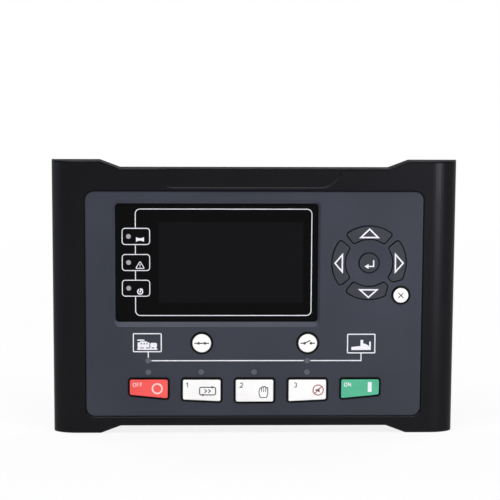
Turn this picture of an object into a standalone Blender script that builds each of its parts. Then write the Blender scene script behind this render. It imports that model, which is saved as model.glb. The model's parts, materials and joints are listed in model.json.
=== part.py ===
"""Generator-set controller for a switchboard door, 266 x 182 x 45 mm.

The front faces -Y, +X is to the right and +Z is up. The origin is the centre of the panel cut-out, in the
plane where the front moulding's flange meets the door. Lengths are in metres.
"""

import math

import bmesh
import bpy
from mathutils import Vector

# Front moulding: a band with a taller wing at each side, whose front curves back to a short skirt
WIDTH = 0.266
WING_HEIGHT = 0.182
BAND_DROP = 0.005
BAND_END_INSET = 0.0447
WING_START_INSET = 0.0315
FRONT_DEPTH = 0.013
WING_CURVE = 0.016
WING_SKIRT = 0.004
OUTLINE_ROUND = 0.003
EDGE_ROUND = 0.001
MOULDED_WALL = 0.0024
POCKET_LAND = 0.0032
WING_POCKETS = 7
WING_RIB = 0.0016
WING_STEPS = 14
POCKET_STEPS = 3

# Label recess in the top band
LABEL_LEFT = -0.0576
LABEL_RIGHT = 0.0565
LABEL_LAND = 0.0024
LABEL_LEFT_CORNER = 0.0025
LABEL_RIGHT_CORNER = 0.0135
LABEL_DEPTH = 0.0005
LABEL_SLOPE = 0.0006

# Door cut-out, seal and rear housing
FLANGE_SIDE = 0.026
FLANGE_HEIGHT = 0.006
CUTOUT_CORNER = 0.004
CUTOUT_CLEARANCE = 0.001
GASKET_INSET = 0.0013
GASKET_WIDTH = 0.003
GASKET_SUNK = 0.001
GASKET_PROUD = 0.0008
HOUSING_DEPTH = 0.0316
SHOULDER_DEPTH = 0.018
SHOULDER_WIDTH = 0.033
HOUSING_WALL = 0.0022
HOUSING_ROUND = 0.0015

# Seating gap left between pieces that touch
SEAT_GAP = 0.0003

# Facets round a circle: keys, lamps, screws and their holes, domes
ROUND_STEPS = 20
LAMP_STEPS = 12
HOLE_STEPS = 10
DOME_STEPS = 8

# Grey face panel
FACE_LAP = 0.0045
FACE_TOP_INSET = 0.0144
FACE_BOTTOM_INSET = 0.0061
FACE_CORNER = 0.006
FACE_THICKNESS = 0.0024
FACE_RECESS = 0.0006
FACE_EDGE_WIDTH = 0.001
FACE_EDGE_DROP = 0.0006
RIM_CHAMFER = 0.0004
LEDGE_SIDE = 0.007
LEDGE_TOP = 0.0046
LEDGE_BOTTOM = 0.0074
LEDGE_THICKNESS = 0.0025
LEDGE_CORNER = 0.002
GUSSET = 0.009

# Display: the visible window between the face panel's edges, the pad and the keys, its sloped border and
# what lies behind it
WINDOW_SIDE = 0.02
WINDOW_TO_PAD = 0.0088
WINDOW_TO_TOP = 0.0086
WINDOW_TO_KEYS = 0.0074
WINDOW_CORNER = 0.0022
WINDOW_OUTER_CORNER = 0.0042
SLOPE_SIDE = 0.0014
SLOPE_TOP = 0.00245
SLOPE_BOTTOM = 0.00305
LENS_THICKNESS = 0.0015
LENS_LAP = 0.0025
LCD_LEFT_MARGIN = 0.02345
LCD_RIGHT_MARGIN = 0.00475
LCD_TOP_MARGIN = 0.00575
LCD_BOTTOM_MARGIN = 0.00615
LCD_THICKNESS = 0.003

# Keys
KEY_TRAVEL = 0.001
KEY_PROUD = 0.001
KEY_EDGE = 0.0006
KEY_GAP = 0.0009
KEY_CORNER = 0.0012
FLANGE_LAP = 0.0009
FLANGE_THICKNESS = 0.0012
ROW_KEYS = 5
ROW_LEFT_MARGIN = 0.02925
ROW_RIGHT_MARGIN = 0.02805
ROW_BOTTOM_MARGIN = 0.0101
ROW_KEY_HEIGHT = 0.0154
ROW_KEY_SPACE = 0.0098
ROW_BOW_RADIUS = 0.70
BREAKER_KEY_RADIUS = 0.0064
BREAKER_KEY_TO_LAMP = 0.0056
ESCAPE_RADIUS = 0.00515
ESCAPE_REACH = 0.00564
ESCAPE_ANGLE = -45.4

# Direction pad
PAD_SIDE = 0.0111
PAD_RISE = 0.00045
PAD_OUTER_RADIUS = 0.0247
PAD_KEY_WIDTH = 0.009
PAD_HALF_ANGLE = 39.4
PAD_CORNER = 0.0019
PAD_GAP = 0.0007
PAD_PROUD = 0.0004
PAD_EDGE = 0.0003
PAD_DISH_DEPTH = 0.0004
ENTER_RADIUS = 0.0064
ESCAPE_CLEARANCE_RADIUS = 0.0099

# Lamps in the face panel and behind the lens
LAMP_RADIUS = 0.0015
LAMP_FLANGE_RADIUS = 0.0024
LAMP_FLANGE_THICKNESS = 0.0008
LAMP_PROUD = 0.00015
LAMP_CLEARANCE = 0.0003
LAMP_LEFT_OF_KEY = 0.0003
MODE_LAMP_TO_KEY = 0.0048
LAMP_ROW_SPACE = 0.0077
STATUS_LAMP_INSET = 0.0088
STATUS_LAMP_PITCH = 0.0173
STATUS_GUIDE_WIDTH = 0.006
STATUS_GUIDE_THICKNESS = 0.001
STATUS_GUIDE_END = 0.003
LED_SIZE = 0.0018
LED_HEIGHT = 0.0008

# Keypad mat, and how far it reaches past the keys
MAT_THICKNESS = 0.001
MAT_MARGIN = 0.0057
MAT_TOP_MARGIN = 0.0025
MAT_SIDE_MARGIN = 0.004
MAT_UNDER_ESCAPE = 0.011
DOME_BASE_RADIUS = 0.0034
DOME_TOP_RADIUS = 0.0024

# Boards and the four screws that clamp the stack
BOARD_THICKNESS = 0.0016
MAIN_BOARD_FRONT = 0.006
MAIN_BOARD_MARGIN = 0.0006
STACK_SIDE = 0.006
STACK_TOP = 0.004
STACK_BOTTOM = 0.0035
SCREW_RADIUS = 0.0014
SCREW_HOLE_RADIUS = 0.0017
SCREW_HEAD_RADIUS = 0.0027
SCREW_HEAD_HEIGHT = 0.0016
SCREW_DRIVE_RADIUS = 0.0013
SCREW_DRIVE_DEPTH = 0.001
SCREW_BITE = 0.004
SCREW_TIP = 0.0006
HEX_SIDES = 6
BOSS_RADIUS = 0.003
SPACER_RADIUS = 0.00275

# Terminals and sockets in the housing's shoulders
POLE_PITCH = 0.00508
TOP_POLES = (10, 14, 10)
BOTTOM_POLES = (12, 10, 6)
ROW_SPACE = 0.003
TERMINAL_INSET = 0.017
TERMINAL_LEFT_MARGIN = 0.0145
TERMINAL_RIGHT_MARGIN = 0.0124
HEADER_DEPTH = 0.0084
HEADER_WALL = 0.0008
HEADER_BASE = 0.002
HEADER_STANDS_OUT = 0.0015
PLUG_HEIGHT = 0.0118
PLUG_DEPTH = 0.0112
WIRE_ENTRY_WIDTH = 0.0032
WIRE_ENTRY_HEIGHT = 0.0036
WIRE_ENTRY_DEPTH = 0.005
SCREW_POCKET_SIZE = 0.0034
SCREW_POCKET_DEPTH = 0.0008
SOCKET_STANDS_OUT = 0.0003
USB_WIDTH = 0.012
USB_HEIGHT = 0.0108
USB_MOUTH_WIDTH = 0.0085
USB_MOUTH_HEIGHT = 0.0078
USB_MOUTH_CHAMFER = 0.0015
USB_TONGUE_WIDTH = 0.0056
USB_TONGUE_HEIGHT = 0.0032
LINK_WIDTH = 0.0158
LINK_HEIGHT = 0.0132
LINK_MOUTH_WIDTH = 0.0119
LINK_MOUTH_HEIGHT = 0.0082
LINK_LATCH_WIDTH = 0.006
LINK_LATCH_HEIGHT = 0.0022
SOCKET_FLOOR = 0.0015

# Vents and fixing-clip slots in the rear housing
VENT_COUNT = 8
VENT_PITCH = 0.0045
VENT_WIDTH = 0.0018
VENT_LENGTH = 0.030
VENT_INSET = 0.045
CLIP_SLOT_LENGTH = 0.012
CLIP_SLOT_WIDTH = 0.0034
CLIP_SLOT_Z = 0.036
CLIP_SLOT_Y = 0.006

# What stands on the main board
RELAY_COUNT = 4
RELAY_LENGTH = 0.019
RELAY_WIDTH = 0.0155
RELAY_HEIGHT = 0.0155
RELAY_PITCH = 0.024
RELAY_INSET = 0.027
RELAY_Z = 0.020
RELAY_ROUND = 0.0008
BATTERY_RADIUS = 0.011
BATTERY_HEIGHT = 0.005
BATTERY_ROUND = 0.0008
BATTERY_INSET = 0.047
BATTERY_Z = 0.010
PROCESSOR_SIZE = 0.014
PROCESSOR_HEIGHT = 0.0014
PROCESSOR_CENTRE = (0.0, -0.015)
LINK_STRIP_LENGTH = 0.033
LINK_STRIP_WIDTH = 0.005
LINK_STRIP_CENTRE = (-0.030, -0.030)

# Layout of the front, worked out from the sizes above: from the outside in, then from the bottom row up
BAND_HEIGHT = WING_HEIGHT - 2 * BAND_DROP
BAND_END_X = WIDTH / 2 - BAND_END_INSET
WING_START_X = WIDTH / 2 - WING_START_INSET
CREST_X = WIDTH / 2 - WING_CURVE
CUTOUT_WIDTH = WIDTH - 2 * FLANGE_SIDE
CUTOUT_HEIGHT = BAND_HEIGHT - 2 * FLANGE_HEIGHT
WING_POCKET_X = CUTOUT_WIDTH / 2 + GASKET_INSET + GASKET_WIDTH + POCKET_LAND
FACE_WIDTH = CUTOUT_WIDTH + 2 * FACE_LAP
FACE_TOP = BAND_HEIGHT / 2 - FACE_TOP_INSET
FACE_BOTTOM = -BAND_HEIGHT / 2 + FACE_BOTTOM_INSET
LABEL_BOTTOM = FACE_TOP + LABEL_LAND
ROW_LEFT = -FACE_WIDTH / 2 + ROW_LEFT_MARGIN
ROW_RIGHT = FACE_WIDTH / 2 - ROW_RIGHT_MARGIN
ROW_BOTTOM = FACE_BOTTOM + ROW_BOTTOM_MARGIN
ROW_TOP = ROW_BOTTOM + ROW_KEY_HEIGHT
ROW_CENTRE_X = (ROW_LEFT + ROW_RIGHT) / 2
ROW_PITCH = (ROW_RIGHT - ROW_LEFT + ROW_KEY_SPACE) / ROW_KEYS
ROW_KEY_WIDTH = ROW_PITCH - ROW_KEY_SPACE
MODE_LAMP_Z = ROW_TOP + MODE_LAMP_TO_KEY
MIMIC_LAMP_Z = MODE_LAMP_Z + LAMP_ROW_SPACE
BREAKER_KEY_Z = MIMIC_LAMP_Z + BREAKER_KEY_TO_LAMP + BREAKER_KEY_RADIUS
WINDOW_BOTTOM = BREAKER_KEY_Z + BREAKER_KEY_RADIUS + WINDOW_TO_KEYS
WINDOW_TOP = FACE_TOP - WINDOW_TO_TOP
PAD_INNER_RADIUS = PAD_OUTER_RADIUS - PAD_KEY_WIDTH
PAD_CENTRE = (FACE_WIDTH / 2 - PAD_SIDE - PAD_OUTER_RADIUS, (WINDOW_TOP + WINDOW_BOTTOM) / 2 + PAD_RISE)
WINDOW_LEFT = -FACE_WIDTH / 2 + WINDOW_SIDE
WINDOW_RIGHT = PAD_CENTRE[0] - PAD_OUTER_RADIUS - WINDOW_TO_PAD
ESCAPE_CENTRE = (
    PAD_CENTRE[0] + (PAD_OUTER_RADIUS + ESCAPE_REACH) * math.cos(math.radians(ESCAPE_ANGLE)),
    PAD_CENTRE[1] + (PAD_OUTER_RADIUS + ESCAPE_REACH) * math.sin(math.radians(ESCAPE_ANGLE)),
)
LCD_LEFT = WINDOW_LEFT + LCD_LEFT_MARGIN
LCD_RIGHT = WINDOW_RIGHT - LCD_RIGHT_MARGIN
LCD_BOTTOM = WINDOW_BOTTOM + LCD_BOTTOM_MARGIN
LCD_TOP = WINDOW_TOP - LCD_TOP_MARGIN
STATUS_LAMP_X = WINDOW_LEFT + STATUS_LAMP_INSET
STATUS_LAMP_Z = [(LCD_TOP + LCD_BOTTOM) / 2 + step * STATUS_LAMP_PITCH for step in (1, 0, -1)]

# Layout behind the door
PLATEAU_HEIGHT = CUTOUT_HEIGHT - 2 * SHOULDER_WIDTH
STACK_X = CUTOUT_WIDTH / 2 - STACK_SIDE
STACK_TOP_Z = FACE_TOP - LEDGE_TOP - STACK_TOP
STACK_BOTTOM_Z = FACE_BOTTOM + LEDGE_BOTTOM + STACK_BOTTOM
TERMINAL_Z = CUTOUT_HEIGHT / 2 - TERMINAL_INSET
TERMINAL_LEFT = -CUTOUT_WIDTH / 2 + TERMINAL_LEFT_MARGIN
TERMINAL_RIGHT = CUTOUT_WIDTH / 2 - TERMINAL_RIGHT_MARGIN
VENT_CENTRE_X = CUTOUT_WIDTH / 2 - VENT_INSET
RELAY_LEFT = -CUTOUT_WIDTH / 2 + RELAY_INSET
BATTERY_CENTRE = (CUTOUT_WIDTH / 2 - BATTERY_INSET, BATTERY_Z)

# Depths of the stack behind the door's plane
BEZEL_FRONT = -FRONT_DEPTH
FACE_FRONT = BEZEL_FRONT + FACE_RECESS
FACE_BACK = FACE_FRONT + FACE_THICKNESS
LEDGE_FRONT = FACE_BACK + SEAT_GAP
LEDGE_BACK = LEDGE_FRONT + LEDGE_THICKNESS
LENS_FRONT = FACE_BACK + SEAT_GAP
LENS_BACK = LENS_FRONT + LENS_THICKNESS
LCD_FRONT = LENS_BACK + SEAT_GAP
LCD_BACK = LCD_FRONT + LCD_THICKNESS
BOARD_FRONT = LCD_BACK + SEAT_GAP
BOARD_BACK = BOARD_FRONT + BOARD_THICKNESS
LED_FRONT = BOARD_FRONT - LED_HEIGHT
FLANGE_FRONT = FACE_BACK + SEAT_GAP
FLANGE_BACK = FLANGE_FRONT + FLANGE_THICKNESS
MAT_BACK = BOARD_FRONT - SEAT_GAP
MAT_FRONT = MAT_BACK - MAT_THICKNESS
DOME_FRONT = FLANGE_BACK + KEY_TRAVEL + SEAT_GAP
MAIN_BOARD_BACK = MAIN_BOARD_FRONT + BOARD_THICKNESS
HOUSING_FRONT = BOARD_BACK + SEAT_GAP
ON_MAIN_BOARD = MAIN_BOARD_BACK + SEAT_GAP
HEADER_BACK = SHOULDER_DEPTH + HEADER_STANDS_OUT
PAST = 0.001

STACK_POINTS = [
    (side * STACK_X, z) for z in (STACK_TOP_Z, STACK_BOTTOM_Z) for side in (-1, 1)
]


def linear(hex_colour):
    """Linear RGBA of an sRGB hex colour."""
    channels = [int(hex_colour[i : i + 2], 16) / 255 for i in (0, 2, 4)]
    return [c / 12.92 if c <= 0.04045 else ((c + 0.055) / 1.055) ** 2.4 for c in channels] + [1.0]


def material(name, hex_colour, roughness, metallic=0.0):
    made = bpy.data.materials.new(name)
    made.use_nodes = True
    shader = made.node_tree.nodes["Principled BSDF"]
    shader.inputs["Base Color"].default_value = linear(hex_colour)
    shader.inputs["Roughness"].default_value = roughness
    shader.inputs["Metallic"].default_value = metallic
    return made


# Outlines lie in the XZ plane and run anticlockwise as seen from the front


def line_edge(start, end):
    return ("line", Vector(start), Vector(end))


def arc_edge(centre, radius, side):
    """An arc whose outside lies away from its centre (side 1) or towards it (side -1)."""
    return ("arc", Vector(centre), radius, side)


def away(edge, point):
    """Distance of a point outside an edge, and the outward direction there."""
    if edge[0] == "line":
        along = (edge[2] - edge[1]).normalized()
        normal = Vector((along.y, -along.x))
        return normal.dot(point - edge[1]), normal
    spoke = point - edge[1]
    return edge[3] * (spoke.length - edge[2]), edge[3] * spoke.normalized()


def corner_centre(before, after, near, radius):
    """The point that lies the corner radius inside both edges, found from one near it."""
    point = Vector(near)
    for _ in range(12):
        gap_a, normal_a = away(before, point)
        gap_b, normal_b = away(after, point)
        gap_a += radius
        gap_b += radius
        scale = normal_a.x * normal_b.y - normal_a.y * normal_b.x
        point.x -= (gap_a * normal_b.y - gap_b * normal_a.y) / scale
        point.y -= (normal_a.x * gap_b - normal_b.x * gap_a) / scale
    return point


def arc_points(centre, radius, start, turn, steps):
    """Points on an arc, both ends included."""
    return [
        centre + radius * Vector((math.cos(start + turn * i / steps), math.sin(start + turn * i / steps)))
        for i in range(steps + 1)
    ]


def angle_of(direction):
    return math.atan2(direction.y, direction.x)


def outline(edges, corners, radius, grow=0.0, corner_step=35.0, arc_step=11.0):
    """A shape bounded by edges with rounded corners, its border moved outwards by grow.

    corners[i] lies near where edges[i - 1] meets edges[i]. The angles are the largest turn of one facet.
    """
    centres = [corner_centre(edges[i - 1], edges[i], corners[i], radius) for i in range(len(edges))]
    points = []
    for i, edge in enumerate(edges):
        start = angle_of(away(edges[i - 1], centres[i])[1])
        turn = (angle_of(away(edge, centres[i])[1]) - start) % math.tau
        steps = max(1, math.ceil(math.degrees(turn) / corner_step - 0.01))
        points += arc_points(centres[i], radius + grow, start, turn, steps)
        if edge[0] == "arc":
            following = centres[(i + 1) % len(edges)]
            start = angle_of(centres[i] - edge[1])
            turn = (edge[3] * (angle_of(following - edge[1]) - start)) % math.tau * edge[3]
            steps = max(1, math.ceil(abs(math.degrees(turn)) / arc_step))
            points += arc_points(edge[1], edge[2] + edge[3] * grow, start, turn, steps)[1:-1]
    return points


def polygon(corners, radius, grow=0.0, corner_step=35.0):
    edges = [line_edge(a, b) for a, b in zip(corners, corners[1:] + corners[:1])]
    return outline(edges, corners, radius, grow, corner_step)


def box_corners(left, bottom, right, top):
    return [(left, bottom), (right, bottom), (right, top), (left, top)]


def rectangle(centre, width, height):
    x, z = centre
    corners = box_corners(x - width / 2, z - height / 2, x + width / 2, z + height / 2)
    return [Vector(corner) for corner in corners]


def circle(centre, radius, steps=ROUND_STEPS):
    return arc_points(Vector(centre), radius, 0.0, math.tau, steps)[:-1]


def add_loft(mesh, rings):
    """Adds a closed skin through rings of points, each ring with as many points as the next."""
    made = [[mesh.verts.new(point) for point in ring] for ring in rings]
    count = len(made[0])
    for ring, following in zip(made, made[1:]):
        for i in range(count):
            j = (i + 1) % count
            mesh.faces.new((ring[i], ring[j], following[j], following[i]))
    mesh.faces.new(made[0])
    mesh.faces.new(reversed(made[-1]))


def add_prism(mesh, sections):
    """Adds a solid through outlines in planes of constant Y: (depth, outline) from front to back."""
    add_loft(mesh, [[(point.x, depth, point.y) for point in shape] for depth, shape in sections])


def new_object(name, mesh, finish, parent=None, at=(0.0, 0.0, 0.0)):
    """Makes an object of a bmesh built in world coordinates, with its origin at the given place."""
    bmesh.ops.recalc_face_normals(mesh, faces=mesh.faces)
    bmesh.ops.translate(mesh, verts=mesh.verts, vec=-Vector(at))
    data = bpy.data.meshes.new(name)
    mesh.to_mesh(data)
    mesh.free()
    made = bpy.data.objects.new(name, data)
    bpy.context.collection.objects.link(made)
    made.location = at
    if parent is not None:
        made.parent = parent
    if finish is not None:
        data.materials.append(finish)
    smooth(made)
    return made


def smooth(item):
    item.data.shade_smooth()
    item.data.set_sharp_from_angle(angle=math.radians(32))


def combine(target, tool_mesh, operation):
    """Cuts a bmesh out of an object, or joins the two."""
    tool = new_object("tool", tool_mesh, None)
    bpy.context.view_layer.update()
    step = target.modifiers.new(operation.lower(), "BOOLEAN")
    step.operation = operation
    step.solver = "EXACT"
    step.object = tool
    graph = bpy.context.evaluated_depsgraph_get()
    made = bpy.data.meshes.new_from_object(target.evaluated_get(graph))
    target.modifiers.clear()
    old = target.data
    target.data = made
    made.name = target.name
    bpy.data.meshes.remove(old)
    tool_data = tool.data
    bpy.data.objects.remove(tool)
    bpy.data.meshes.remove(tool_data)
    smooth(target)


def difference(mesh, tool_mesh):
    """One bmesh with another cut out of it, as a new bmesh."""
    kept = new_object("kept", mesh, None)
    combine(kept, tool_mesh, "DIFFERENCE")
    made = bmesh.new()
    made.from_mesh(kept.data)
    data = kept.data
    bpy.data.objects.remove(kept)
    bpy.data.meshes.remove(data)
    return made


def prism_object(name, sections, finish, parent):
    mesh = bmesh.new()
    add_prism(mesh, sections)
    return new_object(name, mesh, finish, parent)


def prisms(solids):
    """One bmesh holding a prism for each list of sections."""
    mesh = bmesh.new()
    for sections in solids:
        add_prism(mesh, sections)
    return mesh


def straight(shape, front, back):
    """Sections of a plain prism."""
    return [(front, shape), (back, shape)]


def on_screw_axes(radius, front, back):
    """One bmesh holding a round bar on each of the four screws' axes."""
    return prisms([straight(circle(at, radius, HOLE_STEPS), front, back) for at in STACK_POINTS])


def rounded_front(shape_at, front, back, edge):
    """Sections of a prism whose front edge is rounded; shape_at gives the outline for a growth."""
    lean = edge * (1 - math.sqrt(0.5))
    return [
        (front, shape_at(-edge)),
        (front + lean, shape_at(-lean)),
        (front + edge, shape_at(0.0)),
        (back, shape_at(0.0)),
    ]


def rounded_back(shape_at, front, back, edge):
    lean = edge * (1 - math.sqrt(0.5))
    return [
        (front, shape_at(0.0)),
        (back - edge, shape_at(0.0)),
        (back - lean, shape_at(-lean)),
        (back, shape_at(-edge)),
    ]


# Front moulding


def wing_stations(curve, skirt, start, steps):
    """(x, depth) of the wing's front from its crest out to its edge: a quarter ellipse."""
    rise = FRONT_DEPTH - WING_SKIRT
    return [
        (start + curve * math.sin(angle), skirt + rise * math.cos(angle))
        for angle in (math.radians(90 * i / steps) for i in range(steps + 1))
    ]


def half_profile():
    """(x, half height, depth) stations of the right half of the front moulding."""
    rise = (WING_HEIGHT - BAND_HEIGHT) / 2
    slope = math.atan2(rise, WING_START_X - BAND_END_X)
    reach = OUTLINE_ROUND * math.tan(slope / 2)
    low = Vector((BAND_END_X - reach, BAND_HEIGHT / 2 + OUTLINE_ROUND))
    high = Vector((WING_START_X + reach, WING_HEIGHT / 2 - OUTLINE_ROUND))
    bends = arc_points(low, OUTLINE_ROUND, -math.pi / 2, slope, 2)
    bends += reversed(arc_points(high, OUTLINE_ROUND, math.pi / 2, slope, 2))
    stations = [(point.x, point.y, FRONT_DEPTH) for point in bends]
    for x, depth in wing_stations(WING_CURVE, WING_SKIRT, CREST_X, WING_STEPS):
        stations.append((x, WING_HEIGHT / 2, depth))
    return stations


def bezel_ring(x, half_height, depth):
    """Section of the front moulding across the door, with rounded front edges."""
    upper = []
    for i in range(4):
        angle = math.radians(90 * i / 3)
        y = -(depth - EDGE_ROUND + EDGE_ROUND * math.sin(angle))
        z = half_height - EDGE_ROUND + EDGE_ROUND * math.cos(angle)
        upper.append((y, z))
    lower = [(y, -z) for y, z in reversed(upper)]
    return [(x, y, z) for y, z in [(0.0, half_height)] + upper + lower + [(0.0, -half_height)]]


def face_outline(grow):
    corners = box_corners(-FACE_WIDTH / 2, FACE_BOTTOM, FACE_WIDTH / 2, FACE_TOP)
    return polygon(corners, FACE_CORNER, grow, 18)


def cutout_outline(grow, steps=30):
    corners = box_corners(-CUTOUT_WIDTH / 2, -CUTOUT_HEIGHT / 2, CUTOUT_WIDTH / 2, CUTOUT_HEIGHT / 2)
    return polygon(corners, CUTOUT_CORNER, grow, steps)


def ledge_outline():
    """Window inside the ledge: its corners are cut off to carry the screw bosses."""
    left = -FACE_WIDTH / 2 + LEDGE_SIDE
    right = FACE_WIDTH / 2 - LEDGE_SIDE
    bottom = FACE_BOTTOM + LEDGE_BOTTOM
    top = FACE_TOP - LEDGE_TOP
    corners = [
        (left + GUSSET, bottom),
        (right - GUSSET, bottom),
        (right, bottom + GUSSET),
        (right, top - GUSSET),
        (right - GUSSET, top),
        (left + GUSSET, top),
        (left, top - GUSSET),
        (left, bottom + GUSSET),
    ]
    return polygon(corners, LEDGE_CORNER)


def label_outline(grow):
    """The label recess: a tight lower left corner, a wide lower right one, open at the band's top edge."""
    left = Vector((LABEL_LEFT + LABEL_LEFT_CORNER, LABEL_BOTTOM + LABEL_LEFT_CORNER))
    right = Vector((LABEL_RIGHT - LABEL_RIGHT_CORNER, LABEL_BOTTOM + LABEL_RIGHT_CORNER))
    top = BAND_HEIGHT / 2 + LABEL_RIGHT_CORNER
    points = arc_points(left, LABEL_LEFT_CORNER + grow, math.pi, math.pi / 2, 3)
    points += arc_points(right, LABEL_RIGHT_CORNER + grow, -math.pi / 2, math.pi / 2, 8)
    return points + [Vector((LABEL_RIGHT + grow, top)), Vector((LABEL_LEFT - grow, top))]


def pocket_rings(side, bottom, top):
    """A cored pocket behind the wing's skin."""
    curve = WING_CURVE - MOULDED_WALL
    skirt = WING_SKIRT - MOULDED_WALL
    start = max(0.0, (WING_POCKET_X - CREST_X) / curve)
    depth = skirt + (FRONT_DEPTH - WING_SKIRT) * math.sqrt(1 - start * start)
    stations = [(WING_POCKET_X, depth)]
    inner_face = wing_stations(curve, skirt, CREST_X, POCKET_STEPS)
    stations += [station for station in inner_face if station[0] > WING_POCKET_X]
    return [
        [(side * x, y, z) for y, z in ((PAST, bottom), (PAST, top), (-depth, top), (-depth, bottom))]
        for x, depth in stations
    ]


def front_bezel(parent, finish):
    right = half_profile()
    left = [(-x, height, depth) for x, height, depth in reversed(right)]
    mesh = bmesh.new()
    add_loft(mesh, [bezel_ring(*station) for station in left + right])
    bezel = new_object("front_bezel", mesh, finish, parent)

    recess = [
        (BEZEL_FRONT - PAST, face_outline(RIM_CHAMFER + PAST)),
        (BEZEL_FRONT + RIM_CHAMFER, face_outline(0.0)),
        (LEDGE_FRONT, face_outline(0.0)),
    ]
    combine(bezel, prisms([recess]), "DIFFERENCE")
    combine(bezel, prisms([straight(cutout_outline(0.0), LEDGE_BACK, PAST)]), "DIFFERENCE")
    combine(bezel, prisms([straight(ledge_outline(), LEDGE_FRONT - PAST, LEDGE_BACK + PAST)]), "DIFFERENCE")

    label = [
        (BEZEL_FRONT - PAST, label_outline(LABEL_SLOPE * (1 + PAST / LABEL_DEPTH))),
        (BEZEL_FRONT + LABEL_DEPTH, label_outline(0.0)),
    ]
    combine(bezel, prisms([label]), "DIFFERENCE")

    groove = prisms([straight(gasket_outline(GASKET_WIDTH + SEAT_GAP), -GASKET_SUNK - SEAT_GAP, PAST)])
    land = prisms([straight(gasket_outline(-SEAT_GAP), -FRONT_DEPTH, 2 * PAST)])
    combine(bezel, difference(groove, land), "DIFFERENCE")

    usable = WING_HEIGHT - 2 * MOULDED_WALL + WING_RIB
    pitch = usable / WING_POCKETS
    pockets = bmesh.new()
    for side in (-1, 1):
        for i in range(WING_POCKETS):
            bottom = -WING_HEIGHT / 2 + MOULDED_WALL + i * pitch
            add_loft(pockets, pocket_rings(side, bottom, bottom + pitch - WING_RIB))
    combine(bezel, pockets, "DIFFERENCE")

    combine(bezel, on_screw_axes(BOSS_RADIUS, LEDGE_BACK - PAST, BOARD_FRONT - SEAT_GAP), "UNION")
    bites = on_screw_axes(SCREW_HOLE_RADIUS, BOARD_FRONT - SCREW_BITE - SEAT_GAP, BOARD_FRONT)
    combine(bezel, bites, "DIFFERENCE")
    return bezel


def gasket_outline(grow):
    return cutout_outline(GASKET_INSET + grow)


def panel_gasket(parent, finish):
    gasket = prism_object(
        "panel_gasket", straight(gasket_outline(GASKET_WIDTH), -GASKET_SUNK, GASKET_PROUD), finish, parent
    )
    combine(gasket, prisms([straight(gasket_outline(0.0), -FRONT_DEPTH, FRONT_DEPTH)]), "DIFFERENCE")
    return gasket


# Keys: each is an outline that grows, so that the cap, its opening and its hidden flange stay parallel


def polar(centre, radius, degrees):
    angle = math.radians(degrees)
    return Vector(centre) + radius * Vector((math.cos(angle), math.sin(angle)))


def pad_outline(axis, trimmed_start=False, trimmed_end=False):
    """Outline of one key of the direction pad, on the line of its gap; Esc trims two of them."""
    start = axis - PAD_HALF_ANGLE
    end = axis + PAD_HALF_ANGLE
    far = 2 * PAD_OUTER_RADIUS
    outer = arc_edge(PAD_CENTRE, PAD_OUTER_RADIUS, 1)
    inner = arc_edge(PAD_CENTRE, PAD_INNER_RADIUS, -1)
    trim = arc_edge(ESCAPE_CENTRE, ESCAPE_CLEARANCE_RADIUS, -1)
    middle = (PAD_OUTER_RADIUS + PAD_INNER_RADIUS) / 2
    bend = math.degrees(PAD_CORNER / PAD_OUTER_RADIUS) * 2
    edges = [outer]
    if trimmed_end:
        corners = [polar(PAD_CENTRE, PAD_OUTER_RADIUS, start + bend)]
        edges += [trim]
        corners += [polar(PAD_CENTRE, PAD_OUTER_RADIUS, end - 3 * bend)]
        corners += [polar(PAD_CENTRE, middle, end - bend)]
    elif trimmed_start:
        corners = [polar(PAD_CENTRE, PAD_OUTER_RADIUS, start + 3 * bend)]
        corners += [polar(PAD_CENTRE, PAD_OUTER_RADIUS, end - bend)]
    else:
        corners = [polar(PAD_CENTRE, PAD_OUTER_RADIUS, start + bend)]
        corners += [polar(PAD_CENTRE, PAD_OUTER_RADIUS, end - bend)]
    edges += [line_edge(polar(PAD_CENTRE, far, end), PAD_CENTRE), inner]
    edges += [line_edge(PAD_CENTRE, polar(PAD_CENTRE, far, start))]
    corners += [polar(PAD_CENTRE, PAD_INNER_RADIUS, end - bend)]
    corners += [polar(PAD_CENTRE, PAD_INNER_RADIUS, start + bend)]
    if trimmed_start:
        edges += [trim]
        corners += [polar(PAD_CENTRE, middle, start + bend)]
    return lambda grow: outline(edges, corners, PAD_CORNER, grow - PAD_GAP / 2)


def row_outline(place):
    """Outline of a key in the bottom row, whose lower edge follows a shallow bow."""
    centre = ROW_CENTRE_X + place * ROW_PITCH
    left = centre - ROW_KEY_WIDTH / 2
    right = centre + ROW_KEY_WIDTH / 2
    low = [ROW_BOTTOM + (x - ROW_CENTRE_X) ** 2 / (2 * ROW_BOW_RADIUS) for x in (left, right)]
    corners = [(left, low[0]), (right, low[1]), (right, ROW_TOP), (left, ROW_TOP)]
    return lambda grow: polygon(corners, KEY_CORNER, grow, 30)


def round_outline(centre, radius):
    return lambda grow: circle(centre, radius + grow)


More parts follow.
